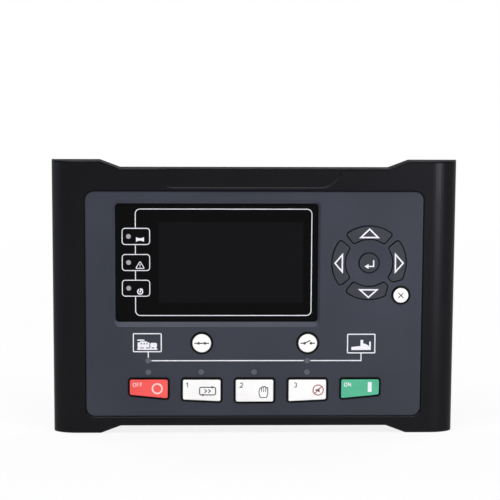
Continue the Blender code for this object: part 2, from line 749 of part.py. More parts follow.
def key_table(finishes):
    """(name, outline, centre, gap, how proud, edge rounding, finish) of each key."""
    dark, white, red, green = (finishes[name] for name in ("dark", "white", "red", "green"))
    middle = (PAD_INNER_RADIUS + PAD_OUTER_RADIUS) / 2
    pad = (PAD_GAP, PAD_PROUD, PAD_EDGE, dark)
    cap = (KEY_GAP, KEY_PROUD, KEY_EDGE)
    table = [
        ("key_right", pad_outline(0, trimmed_start=True), polar(PAD_CENTRE, middle, 0), *pad),
        ("key_up", pad_outline(90), polar(PAD_CENTRE, middle, 90), *pad),
        ("key_left", pad_outline(180), polar(PAD_CENTRE, middle, 180), *pad),
        ("key_down", pad_outline(270, trimmed_end=True), polar(PAD_CENTRE, middle, 270), *pad),
        ("key_enter", round_outline(PAD_CENTRE, ENTER_RADIUS), Vector(PAD_CENTRE), *pad),
        ("key_escape", round_outline(ESCAPE_CENTRE, ESCAPE_RADIUS), Vector(ESCAPE_CENTRE), *cap, white),
    ]
    for name, place in (("key_close", -1), ("key_open", 1)):
        centre = Vector((ROW_CENTRE_X + place * ROW_PITCH, BREAKER_KEY_Z))
        table.append((name, round_outline(centre, BREAKER_KEY_RADIUS), centre, *cap, white))
    row = ("stop", red), ("auto", white), ("manual", white), ("mute", white), ("start", green)
    for i, (name, finish) in enumerate(row):
        centre = Vector((ROW_CENTRE_X + (i - 2) * ROW_PITCH, (ROW_TOP + ROW_BOTTOM) / 2))
        table.append(("key_" + name, row_outline(i - 2), centre, *cap, finish))
    return table


def key(entry, parent):
    name, shape_at, centre, gap, proud, edge, finish = entry
    front = FACE_FRONT - proud
    sections = rounded_front(shape_at, front, FLANGE_FRONT, edge)
    flange = shape_at(gap + FLANGE_LAP)
    sections += [(FLANGE_FRONT, flange), (FLANGE_BACK, flange)]
    mesh = bmesh.new()
    add_prism(mesh, sections)
    return new_object(name, mesh, finish, parent, (centre.x, FLANGE_BACK, centre.y))


# Face panel, display and lamps


def window_outline(slope):
    """Outline of the display window at the panel's back (slope 0) or front (slope 1)."""
    corners = box_corners(
        WINDOW_LEFT - slope * SLOPE_SIDE,
        WINDOW_BOTTOM - slope * SLOPE_BOTTOM,
        WINDOW_RIGHT + slope * SLOPE_SIDE,
        WINDOW_TOP + slope * SLOPE_TOP,
    )
    return polygon(corners, WINDOW_CORNER + slope * (WINDOW_OUTER_CORNER - WINDOW_CORNER), 0.0, 30)


def lamp_points():
    """Names and places of the six lamps in the face panel."""
    middle = ROW_CENTRE_X - LAMP_LEFT_OF_KEY
    points = [("lamp_generator", (middle - 2 * ROW_PITCH, MIMIC_LAMP_Z))]
    points += [("lamp_load", (middle + ROW_PITCH, MIMIC_LAMP_Z))]
    for i, name in enumerate(("lamp_stop", "lamp_auto", "lamp_manual", "lamp_mute")):
        points.append((name, (middle + (i - 2) * ROW_PITCH, MODE_LAMP_Z)))
    return points


def face_panel(parent, finish, keys):
    sections = []
    for angle in (0, 30, 60, 90):
        drop = FACE_EDGE_DROP * (1 - math.cos(math.radians(angle)))
        inset = FACE_EDGE_WIDTH * (1 - math.sin(math.radians(angle)))
        sections.append((FACE_FRONT + drop, face_outline(-SEAT_GAP - inset)))
    sections.append((FACE_BACK, face_outline(-SEAT_GAP)))
    face = prism_object("face_panel", sections, finish, parent)
    through = (FACE_FRONT - PAST, FACE_BACK + PAST)
    dish_inner = ENTER_RADIUS + PAD_GAP + PAD_EDGE
    dish_outer = PAD_INNER_RADIUS - PAD_GAP - PAD_EDGE
    dish = [
        (FACE_FRONT - PAST, circle(PAD_CENTRE, dish_outer)),
        (FACE_FRONT, circle(PAD_CENTRE, dish_outer)),
        (FACE_FRONT + PAD_DISH_DEPTH, circle(PAD_CENTRE, dish_inner)),
    ]
    combine(face, prisms([dish]), "DIFFERENCE")
    openings = [straight(entry[1](entry[3]), *through) for entry in keys]
    for _, at in lamp_points():
        openings.append(straight(circle(at, LAMP_RADIUS + LAMP_CLEARANCE, LAMP_STEPS), *through))
    window = [
        (FACE_FRONT - PAST, window_outline(1 + PAST / FACE_THICKNESS)),
        (FACE_BACK + PAST, window_outline(-PAST / FACE_THICKNESS)),
    ]
    openings.append(window)
    combine(face, prisms(openings), "DIFFERENCE")
    return face


def display_lens(parent, finish):
    corners = box_corners(WINDOW_LEFT, WINDOW_BOTTOM, WINDOW_RIGHT, WINDOW_TOP)
    shape = polygon(corners, WINDOW_CORNER, LENS_LAP)
    return prism_object("display_lens", straight(shape, LENS_FRONT, LENS_BACK), finish, parent)


def lcd_module(parent, finish):
    shape = [Vector(corner) for corner in box_corners(LCD_LEFT, LCD_BOTTOM, LCD_RIGHT, LCD_TOP)]
    return prism_object("lcd_module", straight(shape, LCD_FRONT, LCD_BACK), finish, parent)


def lamp(name, at, parent, finish):
    front = FACE_FRONT - LAMP_PROUD
    rings = [
        (front, circle(at, LAMP_RADIUS - LAMP_PROUD, LAMP_STEPS)),
        (front + LAMP_PROUD, circle(at, LAMP_RADIUS, LAMP_STEPS)),
        (FLANGE_FRONT, circle(at, LAMP_RADIUS, LAMP_STEPS)),
        (FLANGE_FRONT, circle(at, LAMP_FLANGE_RADIUS, LAMP_STEPS)),
        (FLANGE_FRONT + LAMP_FLANGE_THICKNESS, circle(at, LAMP_FLANGE_RADIUS, LAMP_STEPS)),
        (FLANGE_FRONT + LAMP_FLANGE_THICKNESS, circle(at, LAMP_RADIUS, LAMP_STEPS)),
        (LED_FRONT - SEAT_GAP, circle(at, LAMP_RADIUS, LAMP_STEPS)),
    ]
    return prism_object(name, rings, finish, parent)


def status_light_guide(parent, finish):
    """Clear strip behind the lens, with a peg down to each of its three lamps."""
    front = LENS_BACK + SEAT_GAP
    back = front + STATUS_GUIDE_THICKNESS
    corners = box_corners(
        STATUS_LAMP_X - STATUS_GUIDE_WIDTH / 2,
        min(STATUS_LAMP_Z) - STATUS_GUIDE_END,
        STATUS_LAMP_X + STATUS_GUIDE_WIDTH / 2,
        max(STATUS_LAMP_Z) + STATUS_GUIDE_END,
    )
    strip = straight(polygon(corners, LAMP_RADIUS), front, back)
    guide = prism_object("status_light_guide", strip, finish, parent)
    pegs = []
    for z in STATUS_LAMP_Z:
        peg = circle((STATUS_LAMP_X, z), LAMP_RADIUS, HOLE_STEPS)
        pegs.append(straight(peg, front + SEAT_GAP, LED_FRONT - SEAT_GAP))
    combine(guide, prisms(pegs), "UNION")
    return guide


def keypad_mat(parent, finish, keys):
    left = ROW_LEFT - MAT_MARGIN
    right = ROW_RIGHT + MAT_MARGIN
    bottom = ROW_BOTTOM - MAT_MARGIN
    strip_top = BREAKER_KEY_Z + BREAKER_KEY_RADIUS + MAT_TOP_MARGIN
    pad_left = PAD_CENTRE[0] - PAD_OUTER_RADIUS - MAT_SIDE_MARGIN
    pad_right = ESCAPE_CENTRE[0] + MAT_MARGIN
    pad_bottom = ESCAPE_CENTRE[1] - ESCAPE_RADIUS - MAT_UNDER_ESCAPE
    pad_top = PAD_CENTRE[1] + PAD_OUTER_RADIUS + MAT_TOP_MARGIN
    corners = [
        (left, bottom),
        (right, bottom),
        (right, pad_bottom),
        (pad_right, pad_bottom),
        (pad_right, pad_top),
        (pad_left, pad_top),
        (pad_left, strip_top),
        (left, strip_top),
    ]
    shape = [Vector(corner) for corner in corners]
    mat = prism_object("keypad_mat", straight(shape, MAT_FRONT, MAT_BACK), finish, parent)
    domes = []
    for entry in keys:
        centre = entry[2]
        domes.append(
            [
                (DOME_FRONT, circle(centre, DOME_TOP_RADIUS, DOME_STEPS)),
                (MAT_FRONT, circle(centre, DOME_BASE_RADIUS, DOME_STEPS)),
                (MAT_FRONT + MAT_THICKNESS / 2, circle(centre, DOME_BASE_RADIUS, DOME_STEPS)),
            ]
        )
    combine(mat, prisms(domes), "UNION")
    holes = [
        straight(circle(at, LAMP_RADIUS + LAMP_CLEARANCE, LAMP_STEPS), MAT_FRONT - PAST, MAT_BACK + PAST)
        for _, at in lamp_points()
    ]
    combine(mat, prisms(holes), "DIFFERENCE")
    round_bosses = on_screw_axes(BOSS_RADIUS + SEAT_GAP, MAT_FRONT - PAST, MAT_BACK + PAST)
    combine(mat, round_bosses, "DIFFERENCE")
    return mat


# Boards and the clamped stack


def display_board(parent, finish):
    board = prism_object(
        "display_board", straight(cutout_outline(-SEAT_GAP), BOARD_FRONT, BOARD_BACK), finish, parent
    )
    places = [at for _, at in lamp_points()] + [(STATUS_LAMP_X, z) for z in STATUS_LAMP_Z]
    leds = [straight(rectangle(at, LED_SIZE, LED_SIZE), LED_FRONT, BOARD_FRONT + SEAT_GAP) for at in places]
    combine(board, prisms(leds), "UNION")
    combine(board, on_screw_axes(SCREW_HOLE_RADIUS, BOARD_FRONT - PAST, BOARD_BACK + PAST), "DIFFERENCE")
    return board


def housing_outline(grow=0.0):
    return cutout_outline(grow - CUTOUT_CLEARANCE)


def main_board(parent, finish):
    shape = housing_outline(-HOUSING_WALL - MAIN_BOARD_MARGIN)
    board = prism_object("main_board", straight(shape, MAIN_BOARD_FRONT, MAIN_BOARD_BACK), finish, parent)
    processor = straight(
        rectangle(PROCESSOR_CENTRE, PROCESSOR_SIZE, PROCESSOR_SIZE),
        MAIN_BOARD_BACK - BOARD_THICKNESS / 2,
        MAIN_BOARD_BACK + PROCESSOR_HEIGHT,
    )
    combine(board, prisms([processor]), "UNION")
    holes = on_screw_axes(SCREW_HOLE_RADIUS, MAIN_BOARD_FRONT - PAST, MAIN_BOARD_BACK + PAST)
    combine(board, holes, "DIFFERENCE")
    return board


def board_link(parent, finish):
    shape = rectangle(LINK_STRIP_CENTRE, LINK_STRIP_LENGTH, LINK_STRIP_WIDTH)
    sections = straight(shape, BOARD_BACK + SEAT_GAP, MAIN_BOARD_FRONT - SEAT_GAP)
    return prism_object("board_link", sections, finish, parent)


def board_spacer(number, at, parent, finish):
    front = BOARD_BACK + SEAT_GAP
    back = MAIN_BOARD_FRONT - SEAT_GAP
    sleeve = straight(circle(at, SPACER_RADIUS, HEX_SIDES), front, back)
    spacer = prism_object(f"board_spacer_{number}", sleeve, finish, parent)
    hole = straight(circle(at, SCREW_HOLE_RADIUS, HOLE_STEPS), front - PAST, back + PAST)
    combine(spacer, prisms([hole]), "DIFFERENCE")
    return spacer


def case_screw(number, at, parent, finish):
    """Long screw from the housing's shoulder, through both boards, into the bezel's boss."""
    head_front = SHOULDER_DEPTH - SCREW_HEAD_HEIGHT
    tip = BOARD_FRONT - SCREW_BITE
    rings = [
        (tip, circle(at, SCREW_RADIUS - SCREW_TIP, HOLE_STEPS)),
        (tip + SCREW_TIP, circle(at, SCREW_RADIUS, HOLE_STEPS)),
        (head_front, circle(at, SCREW_RADIUS, HOLE_STEPS)),
        (head_front, circle(at, SCREW_HEAD_RADIUS, HOLE_STEPS)),
        (SHOULDER_DEPTH - SEAT_GAP, circle(at, SCREW_HEAD_RADIUS, HOLE_STEPS)),
        (SHOULDER_DEPTH, circle(at, SCREW_HEAD_RADIUS - SEAT_GAP, HOLE_STEPS)),
    ]
    screw = prism_object(f"case_screw_{number}", rings, finish, parent)
    drive = circle(at, SCREW_DRIVE_RADIUS, HEX_SIDES)
    socket = straight(drive, SHOULDER_DEPTH - SCREW_DRIVE_DEPTH, SHOULDER_DEPTH + PAST)
    combine(screw, prisms([socket]), "DIFFERENCE")
    return screw


def relay(number, parent, finish):
    x = RELAY_LEFT + (number - 1) * RELAY_PITCH
    half_length = RELAY_LENGTH / 2
    half_width = RELAY_WIDTH / 2
    corners = box_corners(x - half_length, RELAY_Z - half_width, x + half_length, RELAY_Z + half_width)
    case = straight(polygon(corners, RELAY_ROUND, 0.0, 90), ON_MAIN_BOARD, ON_MAIN_BOARD + RELAY_HEIGHT)
    return prism_object(f"relay_{number}", case, finish, parent)


def clock_battery(parent, finish):
    sections = rounded_back(
        lambda grow: circle(BATTERY_CENTRE, BATTERY_RADIUS + grow),
        ON_MAIN_BOARD,
        ON_MAIN_BOARD + BATTERY_HEIGHT,
        BATTERY_ROUND,
    )
    return prism_object("clock_battery", sections, finish, parent)


# Terminals and sockets


def fitted(poles_in_row, room):
    """Poles of each terminal in a row, in the given proportions, as many as the room takes."""
    count = len(poles_in_row)
    room -= count * 2 * HEADER_WALL + (count - 1) * ROW_SPACE
    share = int(room / POLE_PITCH) / sum(poles_in_row)
    return [int(poles * share + 0.01) for poles in poles_in_row]


def terminal_rows():
    """Poles and height of the two rows; the sockets take the bottom row's right end."""
    room = TERMINAL_RIGHT - TERMINAL_LEFT
    sockets = 2 * ROW_SPACE + USB_WIDTH + LINK_WIDTH
    return (fitted(TOP_POLES, room), TERMINAL_Z), (fitted(BOTTOM_POLES, room - sockets), -TERMINAL_Z)


def terminal_places():
    """(number, poles, centre) of each terminal, filled from the left of each row."""
    places = []
    for poles_in_row, z in terminal_rows():
        left = TERMINAL_LEFT
        for poles in poles_in_row:
            length = header_length(poles)
            places.append((len(places) + 1, poles, (left + length / 2, z)))
            left += length + ROW_SPACE
    return places


def header_length(poles):
    return poles * POLE_PITCH + 2 * HEADER_WALL


def socket_places():
    """Centres of the two sockets, which follow the bottom terminals."""
    used = sum(header_length(poles) + ROW_SPACE for poles in terminal_rows()[1][0])
    usb_x = TERMINAL_LEFT + used + USB_WIDTH / 2
    link_x = usb_x + USB_WIDTH / 2 + ROW_SPACE + LINK_WIDTH / 2
    return (usb_x, -TERMINAL_Z), (link_x, -TERMINAL_Z)


def terminal_header(number, poles, at, parent, finish):
    shell = straight(rectangle(at, header_length(poles), HEADER_DEPTH), ON_MAIN_BOARD, HEADER_BACK)
    header = prism_object(f"terminal_header_{number}", shell, finish, parent)
    hollow = rectangle(at, header_length(poles) - 2 * HEADER_WALL, HEADER_DEPTH - 2 * HEADER_WALL)
    well = straight(hollow, ON_MAIN_BOARD + HEADER_BASE, HEADER_BACK + PAST)
    combine(header, prisms([well]), "DIFFERENCE")
    return header


def terminal_plug(number, poles, at, parent, finish):
    """Plug with a nose in the header, wire entries at its back and screws on its outer side."""
    outward = 1 if at[1] > 0 else -1
    length = poles * POLE_PITCH
    nose = rectangle(at, length - 2 * SEAT_GAP, HEADER_DEPTH - 2 * HEADER_WALL - 2 * SEAT_GAP)
    body = rectangle(at, length, PLUG_DEPTH)
    body_front = HEADER_BACK + SEAT_GAP
    body_back = HEADER_BACK + PLUG_HEIGHT
    sections = [
        (ON_MAIN_BOARD + HEADER_BASE + SEAT_GAP, nose),
        (body_front, nose),
        (body_front, body),
        (body_back, body),
    ]
    plug = prism_object(f"terminal_plug_{number}", sections, finish, parent)
    cuts = bmesh.new()
    screw_y = (body_front + body_back) / 2
    face_z = at[1] + outward * PLUG_DEPTH / 2
    half = SCREW_POCKET_SIZE / 2
    for i in range(poles):
        x = at[0] + (i - (poles - 1) / 2) * POLE_PITCH
        entry = rectangle((x, at[1] - outward * PLUG_DEPTH / 6), WIRE_ENTRY_WIDTH, WIRE_ENTRY_HEIGHT)
        add_prism(cuts, straight(entry, body_back - WIRE_ENTRY_DEPTH, body_back + PAST))
        low, high = sorted((face_z - outward * SCREW_POCKET_DEPTH, face_z + outward * PAST))
        pocket = [Vector(corner) for corner in box_corners(x - half, low, x + half, high)]
        add_prism(cuts, straight(pocket, screw_y - half, screw_y + half))
    combine(plug, cuts, "DIFFERENCE")
    return plug


def socket_block(name, at, width, height, parent, finish):
    back = SHOULDER_DEPTH + SOCKET_STANDS_OUT
    return prism_object(name, straight(rectangle(at, width, height), ON_MAIN_BOARD, back), finish, parent)


def usb_port(at, parent, finish):
    port = socket_block("usb_port", at, USB_WIDTH, USB_HEIGHT, parent, finish)
    floor = ON_MAIN_BOARD + SOCKET_FLOOR
    half = USB_MOUTH_WIDTH / 2
    low = at[1] - USB_MOUTH_HEIGHT / 2
    high = at[1] + USB_MOUTH_HEIGHT / 2
    corners = [
        (at[0] - half, low),
        (at[0] + half, low),
        (at[0] + half, high - USB_MOUTH_CHAMFER),
        (at[0] + half - USB_MOUTH_CHAMFER, high),
        (at[0] - half + USB_MOUTH_CHAMFER, high),
        (at[0] - half, high - USB_MOUTH_CHAMFER),
    ]
    mouth = prisms([straight([Vector(c) for c in corners], floor, SHOULDER_DEPTH + PAST)])
    tongue = rectangle(at, USB_TONGUE_WIDTH, USB_TONGUE_HEIGHT)
    tongue_mesh = prisms([straight(tongue, floor - PAST, SHOULDER_DEPTH - PAST)])
    combine(port, difference(mouth, tongue_mesh), "DIFFERENCE")
    return port


def link_port(at, parent, finish):
    port = socket_block("link_port", at, LINK_WIDTH, LINK_HEIGHT, parent, finish)
    x, z = at
    half = LINK_MOUTH_WIDTH / 2
    latch = LINK_LATCH_WIDTH / 2
    low = z - LINK_MOUTH_HEIGHT / 2
    high = z + LINK_MOUTH_HEIGHT / 2
    corners = [
        (x - half, low),
        (x - latch, low),
        (x - latch, low - LINK_LATCH_HEIGHT),
        (x + latch, low - LINK_LATCH_HEIGHT),
        (x + latch, low),
        (x + half, low),
        (x + half, high),
        (x - half, high),
    ]
    mouth = straight([Vector(c) for c in corners], ON_MAIN_BOARD + SOCKET_FLOOR, SHOULDER_DEPTH + PAST)
    combine(port, prisms([mouth]), "DIFFERENCE")
    return port


# Rear housing


def rear_housing(parent, finish):
    """Box behind the door: low shoulders carry the terminals, and a plateau between them is deeper."""
    base = rounded_back(housing_outline, HOUSING_FRONT, SHOULDER_DEPTH, HOUSING_ROUND)
    housing = prism_object("rear_housing", base, finish, parent)
    width = CUTOUT_WIDTH - 2 * CUTOUT_CLEARANCE
    ends = box_corners(-width / 2, -PLATEAU_HEIGHT / 2, width / 2, PLATEAU_HEIGHT / 2)

    def plateau_outline(grow):
        return polygon(ends, CUTOUT_CORNER - CUTOUT_CLEARANCE, grow, 30)

    overlap = SHOULDER_DEPTH - 2 * HOUSING_ROUND
    plateau = rounded_back(plateau_outline, overlap, HOUSING_DEPTH, HOUSING_ROUND)
    combine(housing, prisms([plateau]), "UNION")
    low_hollow = straight(
        housing_outline(-HOUSING_WALL), HOUSING_FRONT - PAST, SHOULDER_DEPTH - HOUSING_WALL
    )
    combine(housing, prisms([low_hollow]), "DIFFERENCE")
    high_hollow = straight(
        plateau_outline(-HOUSING_WALL), SHOULDER_DEPTH - HOUSING_WALL - PAST, HOUSING_DEPTH - HOUSING_WALL
    )
    combine(housing, prisms([high_hollow]), "DIFFERENCE")

    posts = on_screw_axes(BOSS_RADIUS, ON_MAIN_BOARD, SHOULDER_DEPTH - HOUSING_WALL / 2)
    combine(housing, posts, "UNION")
    head_room = SHOULDER_DEPTH - SCREW_HEAD_HEIGHT - SEAT_GAP
    sinks = on_screw_axes(SCREW_HEAD_RADIUS + SEAT_GAP, head_room, SHOULDER_DEPTH + PAST)
    combine(housing, sinks, "DIFFERENCE")
    shafts = on_screw_axes(SCREW_HOLE_RADIUS, ON_MAIN_BOARD - PAST, head_room + PAST)
    combine(housing, shafts, "DIFFERENCE")
    combine(housing, housing_openings(), "DIFFERENCE")
    return housing


def housing_openings():
    """Windows for the terminals and sockets, vents in the plateau and slots for the fixing clips."""
    through = (SHOULDER_DEPTH - HOUSING_WALL - PAST, SHOULDER_DEPTH + PAST)
    room = 2 * SEAT_GAP
    cuts = bmesh.new()
    for _, poles, at in terminal_places():
        window = rectangle(at, header_length(poles) + room, HEADER_DEPTH + room)
        add_prism(cuts, straight(window, *through))
    for at, width, height in zip(socket_places(), (USB_WIDTH, LINK_WIDTH), (USB_HEIGHT, LINK_HEIGHT)):
        add_prism(cuts, straight(rectangle(at, width + room, height + room), *through))
    for side in (-1, 1):
        for i in range(VENT_COUNT):
            x = side * VENT_CENTRE_X + (i - (VENT_COUNT - 1) / 2) * VENT_PITCH
            vent = rectangle((x, 0.0), VENT_WIDTH, VENT_LENGTH)
            add_prism(cuts, straight(vent, HOUSING_DEPTH - HOUSING_WALL - PAST, HOUSING_DEPTH + PAST))
        outside = CUTOUT_WIDTH / 2 - CUTOUT_CLEARANCE
        for z in (-CLIP_SLOT_Z, CLIP_SLOT_Z):
            middle = outside - HOUSING_WALL / 2
            slot = rectangle((side * middle, z), HOUSING_WALL + 2 * PAST, CLIP_SLOT_LENGTH)
            add_prism(cuts, straight(slot, CLIP_SLOT_Y, CLIP_SLOT_Y + CLIP_SLOT_WIDTH))
    return cuts


def main():
    for item in list(bpy.data.objects):
        bpy.data.objects.remove(item)

    black = material("black_moulding", "1E1F23", 0.45)
    grey = material("grey_panel", "454952", 0.5)
    glossy = material("lens_acrylic", "0E0F11", 0.08)
    clear = material("light_guide", "6A6D78", 0.3)
    mat_silicone = material("mat_silicone", "A4A7AA", 0.6)
    board_green = material("circuit_board", "1F5A3A", 0.5)
    terminal_green = material("terminal_green", "3C9A5F", 0.45)
    metal = material("screw_steel", "B9BBBE", 0.3, 1.0)
    foam = material("gasket_foam", "17181A", 0.9)
    component = material("component_black", "1A1B1D", 0.5)
    finishes = {
        "dark": material("dark_key", "474A52", 0.5),
        "white": material("white_key", "F4F4F0", 0.4),
        "red": material("red_key", "EE4F52", 0.4),
        "green": material("green_key", "4BAE86", 0.4),
    }

    unit = bpy.data.objects.new("unit", None)
    bpy.context.collection.objects.link(unit)

    keys = key_table(finishes)
    front_bezel(unit, black)
    panel_gasket(unit, foam)
    face_panel(unit, grey, keys)
    display_lens(unit, glossy)
    lcd_module(unit, metal)
    for entry in keys:
        key(entry, unit)
    for name, at in lamp_points():
        lamp(name, at, unit, clear)
    status_light_guide(unit, clear)
    keypad_mat(unit, mat_silicone, keys)
    display_board(unit, board_green)
    main_board(unit, board_green)
    board_link(unit, component)
    for number, at in enumerate(STACK_POINTS, 1):
        board_spacer(number, at, unit, metal)
        case_screw(number, at, unit, metal)
    for number in range(1, RELAY_COUNT + 1):
        relay(number, unit, component)
    clock_battery(unit, metal)
    for number, poles, at in terminal_places():
        terminal_header(number, poles, at, unit, terminal_green)
        terminal_plug(number, poles, at, unit, terminal_green)
    usb_at, link_at = socket_places()
    usb_port(usb_at, unit, metal)
    link_port(link_at, unit, component)
    rear_housing(unit, black)


main()
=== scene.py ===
"""The looks of a door-mounted generator-set controller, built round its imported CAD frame.

Drawn outlines and their widths are in millimetres on the front's own X and Z; everything else is in metres.
"""

import json
import math

import bmesh
import bpy
from mathutils import Matrix, Vector

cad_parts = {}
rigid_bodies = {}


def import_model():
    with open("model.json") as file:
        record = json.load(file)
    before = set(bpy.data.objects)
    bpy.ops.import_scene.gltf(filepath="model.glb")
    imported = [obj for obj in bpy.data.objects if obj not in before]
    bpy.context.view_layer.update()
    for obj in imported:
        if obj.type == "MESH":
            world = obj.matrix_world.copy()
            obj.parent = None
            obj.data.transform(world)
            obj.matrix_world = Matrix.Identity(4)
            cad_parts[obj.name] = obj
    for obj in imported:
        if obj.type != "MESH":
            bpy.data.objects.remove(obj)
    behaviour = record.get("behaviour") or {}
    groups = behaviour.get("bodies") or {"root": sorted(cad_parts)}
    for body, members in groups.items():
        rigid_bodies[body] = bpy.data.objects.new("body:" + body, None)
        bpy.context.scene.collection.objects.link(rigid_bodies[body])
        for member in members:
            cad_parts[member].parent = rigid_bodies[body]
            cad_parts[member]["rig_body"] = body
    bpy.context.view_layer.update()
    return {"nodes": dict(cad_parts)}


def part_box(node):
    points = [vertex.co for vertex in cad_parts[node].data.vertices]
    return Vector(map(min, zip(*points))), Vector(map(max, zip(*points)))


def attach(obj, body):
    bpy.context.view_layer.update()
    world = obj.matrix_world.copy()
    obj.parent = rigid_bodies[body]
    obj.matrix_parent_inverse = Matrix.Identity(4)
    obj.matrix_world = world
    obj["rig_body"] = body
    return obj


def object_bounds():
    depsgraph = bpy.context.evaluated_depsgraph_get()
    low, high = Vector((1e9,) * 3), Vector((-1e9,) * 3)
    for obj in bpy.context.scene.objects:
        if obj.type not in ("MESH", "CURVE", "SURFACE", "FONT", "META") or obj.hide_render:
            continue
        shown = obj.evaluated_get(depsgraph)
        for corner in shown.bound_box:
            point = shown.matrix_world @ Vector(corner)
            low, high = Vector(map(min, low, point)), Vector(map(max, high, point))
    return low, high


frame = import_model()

MM = 0.001

# A colour Mix node's sockets by number, because its float and vector sockets have the same names
MIX_A, MIX_B, MIX_RESULT = 6, 7, 2


def linear(code):
    """Linear RGBA of an sRGB hex colour."""
    channels = [int(code[i : i + 2], 16) / 255 for i in (0, 2, 4)]
    return [c / 12.92 if c <= 0.04045 else ((c + 0.055) / 1.055) ** 2.4 for c in channels] + [1.0]


def set_sockets(tree, node, sockets):
    """Gives a node's input sockets their values; each is a number, a hex colour or another node's output."""
    for key, value in sockets.items():
        if isinstance(value, bpy.types.NodeSocket):
            tree.links.new(value, node.inputs[key])
        elif isinstance(value, str):
            node.inputs[key].default_value = linear(value)
        else:
            node.inputs[key].default_value = value


def add(tree, kind, sockets, **settings):
    """Adds a node with its settings and links."""
    made = tree.nodes.new(kind)
    for name, value in settings.items():
        setattr(made, name, value)
    set_sockets(tree, made, sockets)
    return made


def new_material(name):
    """A material with its node tree, its surface shader and the object's own coordinates in metres."""
    made = bpy.data.materials.new(name)
    made.use_nodes = True
    tree = made.node_tree
    place = add(tree, "ShaderNodeTexCoord", {}).outputs["Object"]
    return made, tree, tree.nodes["Principled BSDF"], place


def cloud(tree, place, size_mm, low, high):
    """Soft random drift between two values, its patches about size_mm across.

    The noise itself seldom leaves 0.3 to 0.7, so that range is stretched over the two values.
    """
    noise = add(tree, "ShaderNodeTexNoise", {"Vector": place, "Scale": 1000 / size_mm, "Detail": 2.0})
    span = {"Value": noise.outputs["Fac"], "From Min": 0.3, "From Max": 0.7, "To Min": low, "To Max": high}
    return add(tree, "ShaderNodeMapRange", span).outputs["Result"]


def drift(tree, place, size_mm, low, high):
    """Colour that drifts softly between two others, its patches about size_mm across."""
    colours = {"Factor": cloud(tree, place, size_mm, 0.0, 1.0), MIX_A: low, MIX_B: high}
    return add(tree, "ShaderNodeMix", colours, data_type="RGBA").outputs[MIX_RESULT]


def grain(tree, place, size_mm, depth_mm, strength=1.0):
    """Bump of an even grain whose dots are size_mm apart."""
    noise = add(tree, "ShaderNodeTexNoise", {"Vector": place, "Scale": 1000 / size_mm, "Detail": 3.0})
    bump = {"Height": noise.outputs["Fac"], "Distance": depth_mm * MM, "Strength": strength}
    return add(tree, "ShaderNodeBump", bump).outputs["Normal"]


def behind(tree, place, start, width):
    """0 in front of a depth, rising to 1 over a width behind it."""
    depth = add(tree, "ShaderNodeSeparateXYZ", {"Vector": place}).outputs["Y"]
    ramp = {"Value": depth, "From Min": start, "From Max": start + width}
    return add(tree, "ShaderNodeMapRange", ramp).outputs["Result"]


def on_rectangle(tree, place, sides, fade):
    """1 inside a rectangle on the front and 0 outside it, with its sides in the middle of the fade."""
    split = add(tree, "ShaderNodeSeparateXYZ", {"Vector": place})
    left, bottom, right, top = sides
    within = {}
    for i, (axis, low, high) in enumerate((("X", left, right), ("Z", bottom, top))):
        from_middle = {0: split.outputs[axis], 1: (low + high) / 2}
        offset = add(tree, "ShaderNodeMath", from_middle, operation="SUBTRACT").outputs[0]
        distance = add(tree, "ShaderNodeMath", {0: offset}, operation="ABSOLUTE").outputs[0]
        half = (high - low) / 2
        ramp = {"Value": distance, "From Min": half + fade / 2, "From Max": half - fade / 2}
        within[i] = add(tree, "ShaderNodeMapRange", ramp).outputs["Result"]
    return add(tree, "ShaderNodeMath", within, operation="MULTIPLY").outputs[0]


# Moulded plastics. A coloured skin or lacquer ends at a depth, over SKIN_FADE, and behind it the colour is
# black: painted shade, which darkens the walls of the gaps round the keys and in the panel.

# The depths at which the colour turns black as painted shade, and that black
SKIN_SHADE_DEPTH = 0.0007
SKIN_FADE = 0.0001
LACQUER_SHADE_DEPTH = 0.0002
WHITE_LACQUER_SHADE_DEPTH = 0.0001
GAP_SHADE_COLOUR = "0B0C0E"
GLOSS_DRIFT = 0.6


def moulded(name, colours, roughness, specular, grain_mm, depth_mm, drift_mm, shade_depth=None):
    """Injection-moulded thermoplastic: its colour and gloss drift a little across the wall.

    colours are its darkest and lightest, roughness its glossiest and dullest value, grain_mm and depth_mm the
    size of the tool's texture, and the last the depth where a coloured skin ends and black painted shade
    begins.
    """
    made, tree, shader, place = new_material(name)
    colour = drift(tree, place, drift_mm, *colours)
    # Behind that depth the colour is black: painted shade on the walls of the gaps
    if shade_depth is not None:
        skin = {"Factor": behind(tree, place, shade_depth, SKIN_FADE), MIX_A: colour, MIX_B: GAP_SHADE_COLOUR}
        colour = add(tree, "ShaderNodeMix", skin, data_type="RGBA").outputs[MIX_RESULT]
    set_sockets(tree, shader, {
        "Base Color": colour,
        "Roughness": cloud(tree, place, drift_mm * GLOSS_DRIFT, *roughness),
        "Specular IOR Level": specular,
        "Normal": grain(tree, place, grain_mm, depth_mm),
    })
    return made


def black_abs():
    """PC-ABS case, moulded in a spark-eroded tool: satin black with a fine even grain, which is drawn 0.5 mm
    wide, twice its real size, to show at all."""
    return moulded(
        "spark_eroded_black_pc_abs", ("0A0A0E", "0D0D11"), roughness=(0.27, 0.33), specular=0.12,
        grain_mm=0.5, depth_mm=0.01, drift_mm=45.0,
    )


# The colour painted on the slopes round the window as painted light, a shade paler than the panel because
# they catch light; how far behind the panel's front it starts, and how far it reaches past the lens above and
# below
PAINTED_SLOPE_LIGHT_COLOUR = "3E424C"
PAINTED_LIGHT_START = 0.00005
PAINTED_LIGHT_REACH = 0.001


